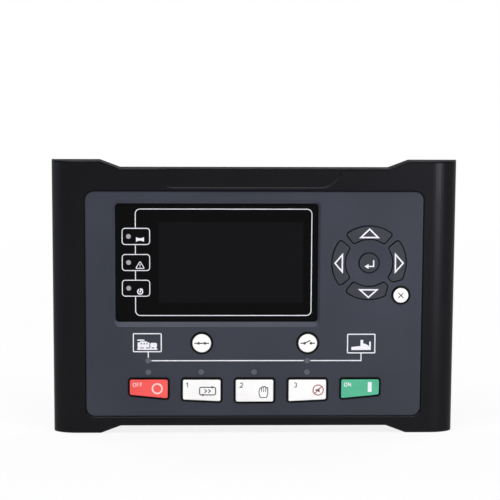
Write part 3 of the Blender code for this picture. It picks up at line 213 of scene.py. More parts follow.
def grey_abs():
    """PC-ABS face panel: a blue-grey skin with a finer grain than the case's, so it looks smoother. Its
    slopes round the window are painted paler, as painted light, and just inside the key openings its colour
    turns black, as painted shade on the openings' walls."""
    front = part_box("face_panel")[0].y
    made = moulded(
        "skinned_grey_pc_abs", ("2E323A", "353942"), roughness=(0.42, 0.52), specular=0.2,
        grain_mm=0.35, depth_mm=0.006, drift_mm=60.0, shade_depth=front + SKIN_SHADE_DEPTH,
    )
    tree = made.node_tree
    shader = tree.nodes["Principled BSDF"]
    place = add(tree, "ShaderNodeTexCoord", {}).outputs["Object"]
    low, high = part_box("display_lens")
    aside, above = SKIN_FADE / 2, PAINTED_LIGHT_REACH + SKIN_FADE / 2
    window = (low.x - aside, low.z - above, high.x + aside, high.z + above)
    # Painted light: the slopes round the window get a paler colour that stands in for the light they catch
    painted_light = {
        0: behind(tree, place, front + PAINTED_LIGHT_START, SKIN_FADE),
        1: on_rectangle(tree, place, window, SKIN_FADE),
    }
    colour = {
        "Factor": add(tree, "ShaderNodeMath", painted_light, operation="MULTIPLY").outputs[0],
        MIX_A: shader.inputs["Base Color"].links[0].from_socket,
        MIX_B: PAINTED_SLOPE_LIGHT_COLOUR,
    }
    colour = add(tree, "ShaderNodeMix", colour, data_type="RGBA").outputs[MIX_RESULT]
    set_sockets(tree, shader, {"Base Color": colour})
    return made


def key_abs(name, colours, node, specular=0.3, lacquer_shade_depth=LACQUER_SHADE_DEPTH):
    """ABS key caps, smooth, their fronts matt-lacquered: nearly even colour and a soft sheen. Just behind the
    front the colour turns black, painted shade that draws a dark line round each cap."""
    return moulded(
        name, colours, roughness=(0.34, 0.42), specular=specular,
        grain_mm=0.3, depth_mm=0.003, drift_mm=14.0, shade_depth=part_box(node)[0].y + lacquer_shade_depth,
    )


def component_epoxy():
    """Transfer-moulded epoxy of relays and connectors: dull near-black with the mould's fine matt texture."""
    return moulded(
        "moulded_epoxy_component", ("151618", "1E1F21"), roughness=(0.4, 0.55), specular=0.4,
        grain_mm=0.25, depth_mm=0.008, drift_mm=6.0,
    )


def terminal_polyamide():
    """Green polyamide terminals, moulded: satin, with faint flow clouds."""
    return moulded(
        "moulded_green_polyamide", ("35925A", "429F66"), roughness=(0.38, 0.5), specular=0.4,
        grain_mm=0.3, depth_mm=0.01, drift_mm=8.0,
    )


# Other materials

# Lit area of the 4.3 inch display, and the width over which its edge fades in the smoked lens
DISPLAY_SIZE = (0.095, 0.054)
DISPLAY_FADE = 0.0008


def smoked_acrylic():
    """Cast acrylic lens, polished, with a hard coat that dims reflections: its printed border is deep black,
    and the display shows through as a rectangle that is only a little lighter."""
    made, tree, shader, place = new_material("polished_smoked_acrylic")
    low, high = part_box("lcd_module")
    x, z = (low.x + high.x) / 2, (low.z + high.z) / 2
    width, height = DISPLAY_SIZE
    display = (x - width / 2, z - height / 2, x + width / 2, z + height / 2)
    colours = {"Factor": on_rectangle(tree, place, display, DISPLAY_FADE), MIX_A: "050506", MIX_B: "0E0E10"}
    set_sockets(tree, shader, {
        "Base Color": add(tree, "ShaderNodeMix", colours, data_type="RGBA").outputs[MIX_RESULT],
        "Roughness": cloud(tree, place, 30.0, 0.05, 0.09),
        "Specular IOR Level": 0.05,
    })
    return made


def light_pipe():
    """Polycarbonate light guide with a diffusing filler: milky, slightly blue-grey over its unlit lamp."""
    made, tree, shader, place = new_material("moulded_diffusing_polycarbonate")
    set_sockets(tree, shader, {
        "Base Color": drift(tree, place, 1.2, "4B4E56", "565960"),
        "Roughness": 0.28,
        "Specular IOR Level": 0.4,
        "Subsurface Weight": 0.15,
        "Subsurface Radius": (0.0008, 0.0008, 0.0009),
    })
    return made


def ink(name, low, high):
    """Screen-printed two-part ink: flat colour, faintly mottled by the mesh it was pressed through, which is
    drawn coarser than its real 0.1 mm to show."""
    made, tree, shader, place = new_material(name)
    set_sockets(tree, shader, {
        "Base Color": drift(tree, place, 0.6, low, high),
        "Roughness": 0.5,
        "Specular IOR Level": 0.3,
        "Normal": grain(tree, place, 0.25, 0.004, 0.5),
    })
    return made


def epdm_foam():
    """Closed-cell foam seal, die-cut from sheet: dull black with fine broken cells, 0.4 mm wide."""
    made, tree, shader, place = new_material("die_cut_epdm_foam")
    cells = add(tree, "ShaderNodeTexVoronoi", {"Vector": place, "Scale": 1000 / 0.4})
    ramp = {"Value": cells.outputs["Distance"], "From Max": 0.6}
    depth = add(tree, "ShaderNodeMapRange", ramp).outputs["Result"]
    colours = {"Factor": depth, MIX_A: "1D1E20", MIX_B: "101112"}
    bump = {"Height": depth, "Distance": 0.00006, "Strength": 0.8}
    set_sockets(tree, shader, {
        "Base Color": add(tree, "ShaderNodeMix", colours, data_type="RGBA").outputs[MIX_RESULT],
        "Roughness": 0.92,
        "Specular IOR Level": 0.2,
        "Normal": add(tree, "ShaderNodeBump", bump, invert=True).outputs["Normal"],
    })
    return made


def silicone():
    """Compression-moulded silicone mat: pale grey and waxy."""
    made, tree, shader, place = new_material("moulded_silicone")
    set_sockets(tree, shader, {
        "Base Color": drift(tree, place, 8.0, "9DA0A4", "A9ACAF"),
        "Roughness": 0.6,
        "Subsurface Weight": 0.1,
        "Subsurface Radius": (0.001, 0.001, 0.001),
        "Normal": grain(tree, place, 0.4, 0.01),
    })
    return made


def solder_mask():
    """Glass-epoxy board under green solder mask: the copper shows through as a fine, winding, paler pattern,
    which the vents let be seen only as a mottled green."""
    made, tree, shader, place = new_material("solder_masked_glass_epoxy")
    blocks = add(tree, "ShaderNodeTexNoise", {"Vector": place, "Scale": 1000 / 12.0, "Detail": 0.0})
    turned = {0: place, 1: blocks.outputs["Color"]}
    turned = add(tree, "ShaderNodeVectorMath", turned, operation="ADD").outputs[0]
    lines = {"Vector": turned, "Scale": 1000 / 4.0, "Distortion": 0.0}
    tracks = add(tree, "ShaderNodeTexWave", lines, bands_direction="DIAGONAL")
    edge = {"Value": tracks.outputs["Fac"], "From Min": 0.6, "From Max": 0.7}
    copper = add(tree, "ShaderNodeMapRange", edge).outputs["Result"]
    colours = {"Factor": copper, MIX_A: "174A2E", MIX_B: "23683F"}
    bump = {"Height": copper, "Distance": 0.00003}
    set_sockets(tree, shader, {
        "Base Color": add(tree, "ShaderNodeMix", colours, data_type="RGBA").outputs[MIX_RESULT],
        "Roughness": 0.35,
        "Normal": add(tree, "ShaderNodeBump", bump).outputs["Normal"],
    })
    return made


def zinc_steel():
    """Zinc-plated and passivated steel: bright grey, with the plating's fine crystals in its gloss."""
    made, tree, shader, place = new_material("zinc_plated_steel")
    set_sockets(tree, shader, {
        "Base Color": drift(tree, place, 2.0, "A9ACB0", "C4C6C8"),
        "Metallic": 1.0,
        "Roughness": cloud(tree, place, 0.8, 0.24, 0.42),
    })
    return made


def gold_plate():
    """Gold-plated phosphor-bronze contacts, stamped: warm and fairly bright."""
    made, tree, shader, place = new_material("gold_plated_bronze")
    set_sockets(tree, shader, {
        "Base Color": drift(tree, place, 1.0, "C9A24A", "DDB964"),
        "Metallic": 1.0,
        "Roughness": 0.28,
    })
    return made


# Outlines drawn on the front

# The least cosine by which a mitre is lengthened, so that a sharp corner doesn't run out to a spike
MITRE_LEAST = 0.3


def arc(centre, radius, start, end, steps=10):
    """Points on an arc, angles in degrees."""
    angles = [math.radians(start + (end - start) * i / steps) for i in range(steps + 1)]
    return [(centre[0] + radius * math.cos(a), centre[1] + radius * math.sin(a)) for a in angles]


def circle(centre, radius, steps):
    """Points on a whole circle."""
    return arc(centre, radius, 0, 360 - 360 / steps, steps - 1)


def rounded(corners, radius, closed=True, steps=6):
    """A path through corners, each turned by an arc; an open path keeps its two ends."""
    points = []
    count = len(corners)
    for i, corner in enumerate(corners):
        if not closed and i in (0, count - 1):
            points.append(corner)
            continue
        here = Vector(corner)
        before = (Vector(corners[i - 1]) - here).normalized()
        after = (Vector(corners[(i + 1) % count]) - here).normalized()
        half = before.angle(after) / 2
        reach = radius / math.tan(half)
        centre = here + (before + after).normalized() * (radius / math.sin(half))
        start = here + before * reach - centre
        end = here + after * reach - centre
        turn = math.atan2(start.x * end.y - start.y * end.x, start.dot(end))
        first = math.atan2(start.y, start.x)
        for step in range(steps + 1):
            angle = first + turn * step / steps
            points.append((centre.x + radius * math.cos(angle), centre.y + radius * math.sin(angle)))
    return points


def beside(points, distance, closed):
    """The mitred path that runs a distance to the left of another."""
    at = [Vector(point) for point in points]
    count = len(at)
    result = []
    for i, here in enumerate(at):
        ways = []
        if closed or i > 0:
            ways.append((here - at[i - 1]).normalized())
        if closed or i < count - 1:
            ways.append((at[(i + 1) % count] - here).normalized())
        normals = [Vector((-way.y, way.x)) for way in ways]
        bisector = sum(normals, Vector((0.0, 0.0))).normalized()
        result.append(here + bisector * distance / max(MITRE_LEAST, bisector.dot(normals[0])))
    return result


def line(points, width, closed=False):
    """A drawn line, centred on its path."""
    return ("band", beside(points, width / 2, closed), beside(points, -width / 2, closed), closed)


def border(corners, width):
    """A closed line whose outer side runs through the corners, which go counterclockwise."""
    return ("band", beside(corners, width, True), [Vector(corner) for corner in corners], True)


def patch(points):
    """A filled area."""
    return ("patch", [Vector(point) for point in points])


def dot(centre, radius, steps=20):
    return patch(circle(centre, radius, steps))


def ring(centre, radius, width, steps=40):
    return line(circle(centre, radius, steps), width, closed=True)


def box_path(left, bottom, right, top):
    return [(left, bottom), (right, bottom), (right, top), (left, top)]


def moved(shapes, x, z):
    """Shapes shifted to a place on the front."""
    shift = Vector((x, z))
    result = []
    for shape in shapes:
        loops = [[point + shift for point in part] for part in shape[1:] if isinstance(part, list)]
        result.append((shape[0], *loops, *shape[1 + len(loops) :]))
    return result


def middle_of(node):
    """A CAD node's middle on the front, in millimetres."""
    low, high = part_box(node)
    return (low.x + high.x) / 2 / MM, (low.z + high.z) / 2 / MM


# Films and pieces

# How far an ink film stands off its surface and sinks into it. Each further shape of one print is a coat
# thicker, because two films in one plane show dark patches where they cross.
INK_PROUD = 0.00003
INK_SUNK = 0.00001
INK_COAT = 0.000002


def add_shape(mesh, shape, front, back):
    """Adds a drawn shape to a mesh as a closed film between two depths."""

    def skin(points, depth):
        return [mesh.verts.new((point.x * MM, depth, point.y * MM)) for point in points]

    def wall(top, base, closed=True):
        count = len(top)
        for i in range(count if closed else count - 1):
            j = (i + 1) % count
            mesh.faces.new((top[i], top[j], base[j], base[i]))

    if shape[0] == "patch":
        top, base = skin(shape[1], front), skin(shape[1], back)
        mesh.faces.new(top)
        mesh.faces.new(reversed(base))
        wall(top, base)
        return
    _, left, right, closed = shape
    borders = [skin(points, depth) for points in (left, right) for depth in (front, back)]
    left_top, left_base, right_top, right_base = borders
    wall(left_top, left_base, closed)
    wall(right_base, right_top, closed)
    wall(left_top, right_top, closed)
    wall(left_base, right_base, closed)
    if not closed:
        for end in (0, -1):
            mesh.faces.new([side[end] for side in (left_top, left_base, right_base, right_top)])


def new_piece(name, mesh, finish, body, smooth_angle=None):
    """Links a mesh built in world coordinates as a piece that rides on a body."""
    bmesh.ops.recalc_face_normals(mesh, faces=mesh.faces)
    data = bpy.data.meshes.new(name)
    mesh.to_mesh(data)
    mesh.free()
    data.materials.append(finish)
    if smooth_angle is not None:
        data.shade_smooth()
        data.set_sharp_from_angle(angle=math.radians(smooth_angle))
    made = bpy.data.objects.new(name, data)
    bpy.context.scene.collection.objects.link(made)
    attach(made, body)


def printed(name, node, shapes, finish):
    """A film of ink on the front of a CAD node, which rides on that node's body."""
    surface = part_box(node)[0].y
    mesh = bmesh.new()
    for i, shape in enumerate(shapes):
        add_shape(mesh, shape, surface - INK_PROUD - i * INK_COAT, surface + INK_SUNK)
    new_piece(name, mesh, finish, frame["nodes"][node]["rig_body"])


# Numerals and switch words: each letter's width and its strokes, drawn on a cell one unit high

GLYPHS = {
    "1": (0.36, [[(0.0, 0.76), (0.3, 1.0), (0.3, 0.0)]]),
    "2": (0.62, [arc((0.3, 0.7), 0.3, 165, -35, 9) + [(0.0, 0.0), (0.62, 0.0)]]),
    "3": (0.6, [arc((0.28, 0.74), 0.26, 150, -80, 9), arc((0.28, 0.26), 0.26, 80, -150, 9)]),
    "F": (0.52, [[(0.0, 0.0), (0.0, 1.0), (0.52, 1.0)], [(0.0, 0.52), (0.44, 0.52)]]),
    "N": (0.66, [[(0.0, 0.0), (0.0, 1.0), (0.66, 0.0), (0.66, 1.0)]]),
    "O": (0.74, [rounded(box_path(0.0, 0.0, 0.74, 1.0), 0.36)]),
}
CLOSED_GLYPHS = "O"
LETTER_GAP = 0.36


def legend(text, left, middle, height, width):
    """Strokes of a short legend whose first letter starts at left, centred on the height middle."""
    shapes = []
    x = left
    for letter in text:
        across, strokes = GLYPHS[letter]
        for stroke in strokes:
            path = [(x + px * height, middle + (pz - 0.5) * height) for px, pz in stroke]
            shapes.append(line(path, width, closed=letter in CLOSED_GLYPHS))
        x += (across + LETTER_GAP) * height
    return shapes


# Prints on the lens: a white frame that runs through three boxes, each with a lamp window and its symbol

PRINT_WIDTH = 0.53
FRAME_BOX = (-78.2, -11.9, 37.85, 59.2)
FRAME_CORNER = 3.2
STATUS_BOX_X = (-87.3, -68.4)
STATUS_BOX_Z = ((35.2, 46.8), (17.85, 29.4), (0.7, 12.2))
STATUS_BOX_INSET = 0.15
STATUS_BOX_CORNER = 2.2
STATUS_WINDOW_RADIUS = 1.6
STATUS_ICON_X = -75.15
HORN_Z, TRIANGLE_Z, ROTOR_Z = 39.0, 21.9, 4.3


def lens_frame():
    """The frame, broken where the three boxes stand, and the boxes."""
    left, bottom, right, top = FRAME_BOX
    highest, lowest = STATUS_BOX_Z[0][1], STATUS_BOX_Z[-1][0]
    corners = [(left, lowest), (left, bottom), (right, bottom), (right, top), (left, top), (left, highest)]
    shapes = [line(rounded(corners, FRAME_CORNER, closed=False), PRINT_WIDTH)]
    for upper, lower in zip(STATUS_BOX_Z, STATUS_BOX_Z[1:]):
        shapes.append(line([(left, upper[0]), (left, lower[1])], PRINT_WIDTH))
    near, far = STATUS_BOX_X[0] + STATUS_BOX_INSET, STATUS_BOX_X[1] - STATUS_BOX_INSET
    for low, high in STATUS_BOX_Z:
        path = box_path(near, low + STATUS_BOX_INSET, far, high - STATUS_BOX_INSET)
        shapes.append(border(rounded(path, STATUS_BOX_CORNER), PRINT_WIDTH))
    return shapes


def horn_icon():
    """Two flared horns back to back, for an alarm."""
    right = [(0.8, -0.8), (2.6, -1.5), (2.6, 1.5), (0.8, 0.8)]
    left = [(-0.8, 0.8), (-2.6, 1.5), (-2.6, -1.5), (-0.8, -0.8)]
    return [patch(right + left)]


def triangle_icon():
    """An outlined triangle round a short bar, for a warning."""
    outline = rounded([(-2.85, -2.2), (2.85, -2.2), (0.0, 2.5)], 0.35, steps=4)
    bar = line([(0.0, 0.75), (0.0, -0.6)], 0.5)
    return [line(outline, 0.5, closed=True), bar, dot((0.0, -1.3), 0.3, 10)]


def rotor_icon():
    """A turning rotor: an arrow that circles a hub, for a running engine."""
    hub = (0.0, -0.2)
    turn = arc(hub, 1.65, 60, -250, 24)
    x, z = turn[0]
    head = patch([(x - 0.9, z + 1.05), (x - 0.6, z - 1.1), (x + 1.15, z + 0.3)])
    return [line(turn, 0.75), dot(hub, 0.6, 12), head]


def lens_prints(white, window):
    shapes = lens_frame()
    for icon, z in ((horn_icon(), HORN_Z), (triangle_icon(), TRIANGLE_Z), (rotor_icon(), ROTOR_Z)):
        shapes += moved(icon, STATUS_ICON_X, z)
    printed("lens_frame_print", "display_lens", shapes, white)
    x = middle_of("status_light_guide")[0]
    windows = [dot((x, (low + high) / 2), STATUS_WINDOW_RADIUS) for low, high in STATUS_BOX_Z]
    printed("status_lamp_windows", "display_lens", windows, window)


# Prints on the face panel: the line from the generator through its breaker lamp to the load

GENERATOR_BOX = (-80.05, -36.1, -60.95, -23.25)
LOAD_BOX = (61.85, -37.0, 80.7, -23.7)
SYMBOL_BOX_CORNER = 0.8
GENERATOR_ICON_Z = -31.0
LOAD_ICON_Z = -31.4
MIMIC_Z = -41.85
MIMIC_WIDTH = 0.7

# Where the line stops short of the lamp under the generator, above it and beside it, and of the breaker lamp
GENERATOR_STEM_END = -39.8
GENERATOR_LAMP_GAP = 2.1
BREAKER_LAMP_GAP = 2.3


def symbol_box(sides):
    return border(rounded(box_path(*sides), SYMBOL_BOX_CORNER, steps=3), MIMIC_WIDTH)


def slotted_block(left, bottom, right, top, slots, low, high):
    """A block with a row of slots from low to high, drawn as two bars and the posts between the slots."""
    edges = [left] + [edge for slot in slots for edge in slot] + [right]
    bars = [box_path(left, bottom, right, low), box_path(left, high, right, top)]
    posts = [box_path(start, low, end, high) for start, end in zip(edges[::2], edges[1::2])]
    return [patch(path) for path in bars + posts]


def generator_icon():
    """An engine and its alternator on a skid, about 13 x 7 mm."""
    shapes = [patch(box_path(-6.6, -3.5, 6.6, -2.5))]
    shapes += [patch(box_path(x - 0.7, -2.5, x + 0.7, -1.9)) for x in (-5.4, -1.6, 2.2, 5.4)]
    shapes += slotted_block(-6.4, -1.9, 1.4, 1.5, [(-4.3, -3.5), (-2.5, -1.7), (-0.7, 0.1)], 0.2, 1.0)
    shapes.append(patch([(0.2, 1.5), (-0.4, 2.2), (-4.6, 2.2), (-5.2, 1.5)]))
    shapes.append(patch(rounded(box_path(1.9, -1.9, 6.4, 1.2), 0.9, steps=4)))
    shapes.append(patch([(-6.6, 2.6), (-1.8, 2.6), (-1.8, 3.1), (-2.6, 3.5), (-6.2, 3.5), (-6.6, 3.1)]))
    return shapes


def load_icon():
    """A works hall with two chimneys, about 13 x 7 mm."""
    hall = [(-6.5, -3.3), (6.4, -3.3), (6.4, 0.6), (5.3, 0.6), (5.3, -0.6), (2.4, 1.0)]
    tower = [(1.3, 1.0), (1.3, 3.5), (-0.5, 3.5), (-0.5, -0.6)]
    return [patch(hall + tower + [(-5.6, -1.2), (-6.5, -1.2)]), patch(box_path(5.3, 0.6, 6.4, 2.4))]


def panel_prints(white):
    generator_x = middle_of("lamp_generator")[0]
    breaker_x = middle_of("lamp_load")[0]
    load_x = (LOAD_BOX[0] + LOAD_BOX[2]) / 2
    stem = [(generator_x, GENERATOR_BOX[1]), (generator_x, GENERATOR_STEM_END)]
    to_breaker = [(generator_x + GENERATOR_LAMP_GAP, MIMIC_Z), (breaker_x - BREAKER_LAMP_GAP, MIMIC_Z)]
    to_load = [(breaker_x + BREAKER_LAMP_GAP, MIMIC_Z), (load_x, MIMIC_Z), (load_x, LOAD_BOX[1])]
    shapes = [symbol_box(GENERATOR_BOX), symbol_box(LOAD_BOX)]
    shapes += [line(path, MIMIC_WIDTH) for path in (stem, to_breaker, to_load)]
    shapes += moved(generator_icon(), (GENERATOR_BOX[0] + GENERATOR_BOX[2]) / 2, GENERATOR_ICON_Z)
    shapes += moved(load_icon(), load_x, LOAD_ICON_Z)
    printed("mimic_print", "face_panel", shapes, white)


# Painted shade round the panel's openings. An opening is a key's where their sides are less than GAP_MOST
# apart.

SHADE_RIM_WIDTH = 0.45
SHADE_RIMMED_KEYS = "stop", "auto", "manual", "mute", "start", "close", "open", "escape"
GAP_MOST = 2.0

# How far apart two points may be, in metres, to count as one, and a point from the front to lie in it
WELD = 0.000001
FLAT = 0.00001


def panel_openings():
    """The front edges of the panel's openings: loops of points, counterclockwise, in millimetres."""
    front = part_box("face_panel")[0].y
    mesh = bmesh.new()
    mesh.from_mesh(frame["nodes"]["face_panel"].data)
    bmesh.ops.remove_doubles(mesh, verts=mesh.verts, dist=WELD)
    flat = {face for face in mesh.faces if all(abs(vert.co.y - front) < FLAT for vert in face.verts)}
    edges = [edge for edge in mesh.edges if sum(face in flat for face in edge.link_faces) == 1]
    loops = []
    while edges:
        edge = edges[0]
        start, here = edge.verts
        loop = [start]
        while edge is not None:
            edges.remove(edge)
            loop.append(here)
            edge = next((one for one in here.link_edges if one in edges), None)
            here = edge.other_vert(here) if edge else None
        points = [Vector((vert.co.x / MM, vert.co.z / MM)) for vert in loop[:-1]]
        area = sum(points[i - 1].cross(points[i]) for i in range(len(points)))
        loops.append(points if area > 0 else points[::-1])
    mesh.free()
    return loops


def opening_shade_rims(black):
    """A thin black band round the key openings on the panel's front: painted shade for the gaps round the
    keys.
    """
    shade_rims = []
    for loop in panel_openings():
        left, right = min(point.x for point in loop), max(point.x for point in loop)
        for name in SHADE_RIMMED_KEYS:
            low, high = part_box("key_" + name)
            if abs(low.x / MM - left) < GAP_MOST and abs(high.x / MM - right) < GAP_MOST:
                # Each band is painted shade round a key's opening
                shade_rims.append(("band", loop, beside(loop, -SHADE_RIM_WIDTH, True), True))
    printed("key_opening_painted_shade", "face_panel", shade_rims, black)


# Heads of the six light guides in the panel

LAMP_HEAD_RADIUS = 1.85


def lamp_heads(pipe):
    """The light guides' thin round heads, which lie on the panel and cover the gap in their holes."""
    mesh = bmesh.new()
    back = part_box("face_panel")[0].y + INK_SUNK
    for name in frame["nodes"]:
        if name.startswith("lamp_"):
            add_shape(mesh, dot(middle_of(name), LAMP_HEAD_RADIUS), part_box(name)[0].y - INK_PROUD, back)
    new_piece("lamp_windows", mesh, pipe, "unit")


# Prints on the keys

ARROWS = {
    "up": [(68.9, 40.4), (82.6, 40.4), (75.75, 47.1)],
    "down": [(68.7, 6.4), (75.55, 0.2), (82.4, 6.4)],
    "left": [(58.5, 16.7), (58.5, 30.7), (52.6, 23.7)],
    "right": [(92.6, 16.6), (98.85, 23.75), (92.6, 30.9)],
}
ARROW_WIDTH = 0.95
ENTER_STEM = [(78.7, 25.7), (78.7, 21.6), (75.0, 21.6)]
ENTER_HEAD = [(72.6, 21.6), (75.4, 20.0), (75.4, 23.2)]
ENTER_WIDTH = 0.85

# Where a breaker's blade ends, from the middle of its symbol
CLOSED_BLADE = (2.1, 0.0)
OPEN_BLADE = (1.7, 1.9)

LEGEND_HEIGHT = 2.4
LEGEND_WIDTH = 0.44
LEGEND_Z = -57.95
OFF_X, ON_X = -80.0, 60.3

NUMERAL_HEIGHT = 3.0
NUMERAL_WIDTH = 0.55
NUMERAL_Z = -58.25
NUMERALS = (("auto", "1", -44.8), ("manual", "2", -9.0), ("mute", "3", 26.9))

OFF_RING_AT = (-64.0, -60.6)
OFF_RING_RADIUS, OFF_RING_WIDTH = 3.2, 1.05
ON_BAR = (76.0, -63.0, 78.55, -56.25)
CYCLE_AT = (-30.6, -62.3)
HAND_AT = (6.7, -62.7)
HORN_AT = (42.9, -61.7)


def arrow_key_prints(white):
    for name, corners in ARROWS.items():
        printed(f"{name}_arrow_print", f"key_{name}", [border(corners, ARROW_WIDTH)], white)
    shapes = [line(ENTER_STEM, ENTER_WIDTH), patch(ENTER_HEAD)]
    printed("enter_arrow_print", "key_enter", shapes, white)


def cross_icon():
    """A cross, to leave a page."""
    return [line([(-1.7, -1.7), (1.7, 1.7)], 0.65), line([(-1.7, 1.7), (1.7, -1.7)], 0.65)]


def contact_icon(blade_end):
    """A breaker: two terminals, with a blade on the left one."""
    wires = [line([(-4.8, 0.0), (-2.1, 0.0), blade_end], 0.75), line([(2.1, 0.0), (4.8, 0.0)], 0.75)]
    return wires + [dot((-2.1, 0.0), 0.9, 12), dot((2.1, 0.0), 0.9, 12)]


def hand_icon():
    """An open palm with four fingers and a thumb, drawn in outline."""
    pitch, radius = 1.35, 0.62
    outline = [(-2.0, -4.0), (-2.7, -2.9), (-3.1, -1.2), (-3.1, 0.4), (-2.85, 0.9)]
    for i, top in enumerate((2.5, 3.4, 3.55, 2.9)):
        outline += arc((-2.05 + pitch * i, top - radius), radius, 180, 0, 5)
    outline += [(2.7, 0.6), (2.7, -1.6), (2.3, -3.0), (1.7, -4.0)]
    fingers = [line([(-1.37 + pitch * i, 2.2), (-1.37 + pitch * i, -0.2)], 0.45) for i in range(3)]
    return [line(outline, 0.6, closed=True)] + fingers


def cycle_icon():
    """A rounded frame whose two arrowheads chase each other, round a pair of forward marks."""
    shapes = [line(rounded(box_path(-5.3, -2.6, 5.3, 2.6), 1.1, steps=4), 0.7, closed=True)]
    shapes.append(patch([(2.6, 1.7), (4.9, 2.6), (2.6, 3.5)]))
    shapes.append(patch([(-2.6, -1.7), (-4.9, -2.6), (-2.6, -3.5)]))
    shapes += [line([(x, 1.2), (x + 1.5, 0.0), (x, -1.2)], 0.6) for x in (-2.1, 0.4)]
    return shapes


def mute_icon():
    """A horn: its mouthpiece and its flared bell."""
    return [patch([(-1.7, -0.5), (-0.7, -0.5), (1.0, -1.6), (1.0, 1.6), (-0.7, 0.5), (-1.7, 0.5)])]


def bar_icon():
    """A ring with a slanted bar, which silences what is under it."""
    return [ring((0.0, 0.0), 3.4, 0.7), line([(-2.4, -2.4), (2.4, 2.4)], 0.6)]


def round_key_prints(dark):
    prints = (
        ("escape_print", "key_escape", cross_icon()),
        ("close_contact_print", "key_close", contact_icon(CLOSED_BLADE)),
        ("open_contact_print", "key_open", contact_icon(OPEN_BLADE)),
    )
    for name, node, shapes in prints:
        printed(name, node, moved(shapes, *middle_of(node)), dark)


def row_key_prints(white, thin_white, dark, red):
    circle_print = [ring(OFF_RING_AT, OFF_RING_RADIUS, OFF_RING_WIDTH)]
    printed("stop_print", "key_stop", circle_print, thin_white)
    word = legend("OFF", OFF_X, LEGEND_Z, LEGEND_HEIGHT, LEGEND_WIDTH)
    printed("stop_legend", "key_stop", word, thin_white)
    printed("start_print", "key_start", [patch(box_path(*ON_BAR))], white)
    word = legend("ON", ON_X, LEGEND_Z, LEGEND_HEIGHT, LEGEND_WIDTH)
    printed("start_legend", "key_start", word, white)
    for name, text, left in NUMERALS:
        numeral = legend(text, left, NUMERAL_Z, NUMERAL_HEIGHT, NUMERAL_WIDTH)
        printed(f"{name}_legend", f"key_{name}", numeral, dark)
    printed("auto_print", "key_auto", moved(cycle_icon(), *CYCLE_AT), dark)
    printed("manual_print", "key_manual", moved(hand_icon(), *HAND_AT), dark)
    printed("mute_horn_print", "key_mute", moved(mute_icon(), *HORN_AT), dark)
    printed("mute_bar_print", "key_mute", moved(bar_icon(), *HORN_AT), red)


# What the wire terminals and sockets carry behind the door

POLE_PITCH = 5.08

# A clamp screw: its radius and the step at its rim in millimetres, half the angle that its slot takes of the
# rim, how far its axis is from the plug's back, how deep its foot is in the plug, and how thick each layer is
SCREW_RADIUS = 1.45
SCREW_STEP = 0.02
SCREW_SIDES = 14
SLOT_ANGLE = 13
SCREW_INSET = 0.00575
SCREW_SUNK = 0.0008
SCREW_LAYER = 0.0003

# The network socket's contacts: their number, pitch and half width, and their profile as depth and height
CONTACTS = 8
CONTACT_PITCH = 0.00102
CONTACT_HALF_WIDTH = 0.0002
CONTACT_PROFILE = [(0.0172, 0.0036), (0.0172, 0.0033), (0.0098, 0.0006), (0.0098, 0.0009)]


def add_prism(mesh, lower, upper):
    """Adds a closed prism between two loops of points."""
    base = [mesh.verts.new(point) for point in lower]
    top = [mesh.verts.new(point) for point in upper]
    mesh.faces.new(top)
    mesh.faces.new(reversed(base))
    for i in range(len(base)):
        j = (i + 1) % len(base)
        mesh.faces.new((top[i], base[i], base[j], top[j]))


def slotted_head(mesh, x, y, z, outward):
    """A round clamp screw's head with a slot across it, its axis along Z: a disc and two halves on it."""
    layers = [(circle((0.0, 0.0), SCREW_RADIUS, SCREW_SIDES), z)]
    for side in (0, 180):
        half = arc((0.0, 0.0), SCREW_RADIUS - SCREW_STEP, side + SLOT_ANGLE, side + 180 - SLOT_ANGLE, 9)
        layers.append((half, z + outward * SCREW_LAYER))
    for outline, foot in layers:
        around = [(x + px * MM, y + py * MM) for px, py in outline]
        heights = (foot, foot + outward * SCREW_LAYER)
        add_prism(mesh, *([(*point, height) for point in around] for height in heights))


def terminal_screws(number, steel):
    low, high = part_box(f"terminal_plug_{number}")
    poles = round((high.x - low.x) / MM / POLE_PITCH)
    outward = 1 if low.z > 0 else -1
    foot = (high.z if outward > 0 else low.z) - outward * SCREW_SUNK
    mesh = bmesh.new()
    for i in range(poles):
        x = (low.x + high.x) / 2 + (i - (poles - 1) / 2) * POLE_PITCH * MM
        slotted_head(mesh, x, high.y - SCREW_INSET, foot, outward)
    new_piece(f"terminal_screws_{number}", mesh, steel, "unit", 40)


def link_contacts(gold):
    """Sprung contacts along the upper side of the network socket."""
    low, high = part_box("link_port")
    centre = (low + high) / 2
    mesh = bmesh.new()
    for i in range(CONTACTS):
        x = centre.x + (i - (CONTACTS - 1) / 2) * CONTACT_PITCH
        sides = (x - CONTACT_HALF_WIDTH, x + CONTACT_HALF_WIDTH)
        add_prism(mesh, *([(side, y, centre.z + z) for y, z in CONTACT_PROFILE] for side in sides))
    new_piece("link_contacts", mesh, gold, "unit")


# Stage

# Each lamp's name, place, target, width, height, power in watts and colour
LAMPS = (
    ("key_light", (-0.15, -0.65, 1.9), (0.0, 0.0, 0.0), 1.4, 1.0, 23.5, "FFFFFF"),
    ("left_fill", (-1.05, -0.6, 1.0), (0.0, 0.0, 0.0), 0.8, 0.8, 6.3, "FFFFFF"),
    ("right_fill", (1.05, -0.6, 1.0), (0.0, 0.0, 0.0), 0.8, 0.8, 6.3, "FFFFFF"),
    ("side_strip", (0.7, -1.38, 0.08), (0.11, 0.0, 0.03), 0.3, 0.3, 9.5, "F4F0FF"),
    ("low_left_panel", (-1.15, -0.3, 0.0), (-0.12, 0.0, -0.06), 0.8, 0.2, 0.9, "C8D6FF"),
    ("back_left_light", (-1.5, 1.25, 1.3), (0.0, 0.0, 0.0), 1.0, 1.0, 18.0, "FFFFFF"),
    ("back_right_light", (1.5, 1.25, 1.3), (0.0, 0.0, 0.0), 1.0, 1.0, 18.0, "FFFFFF"),
)
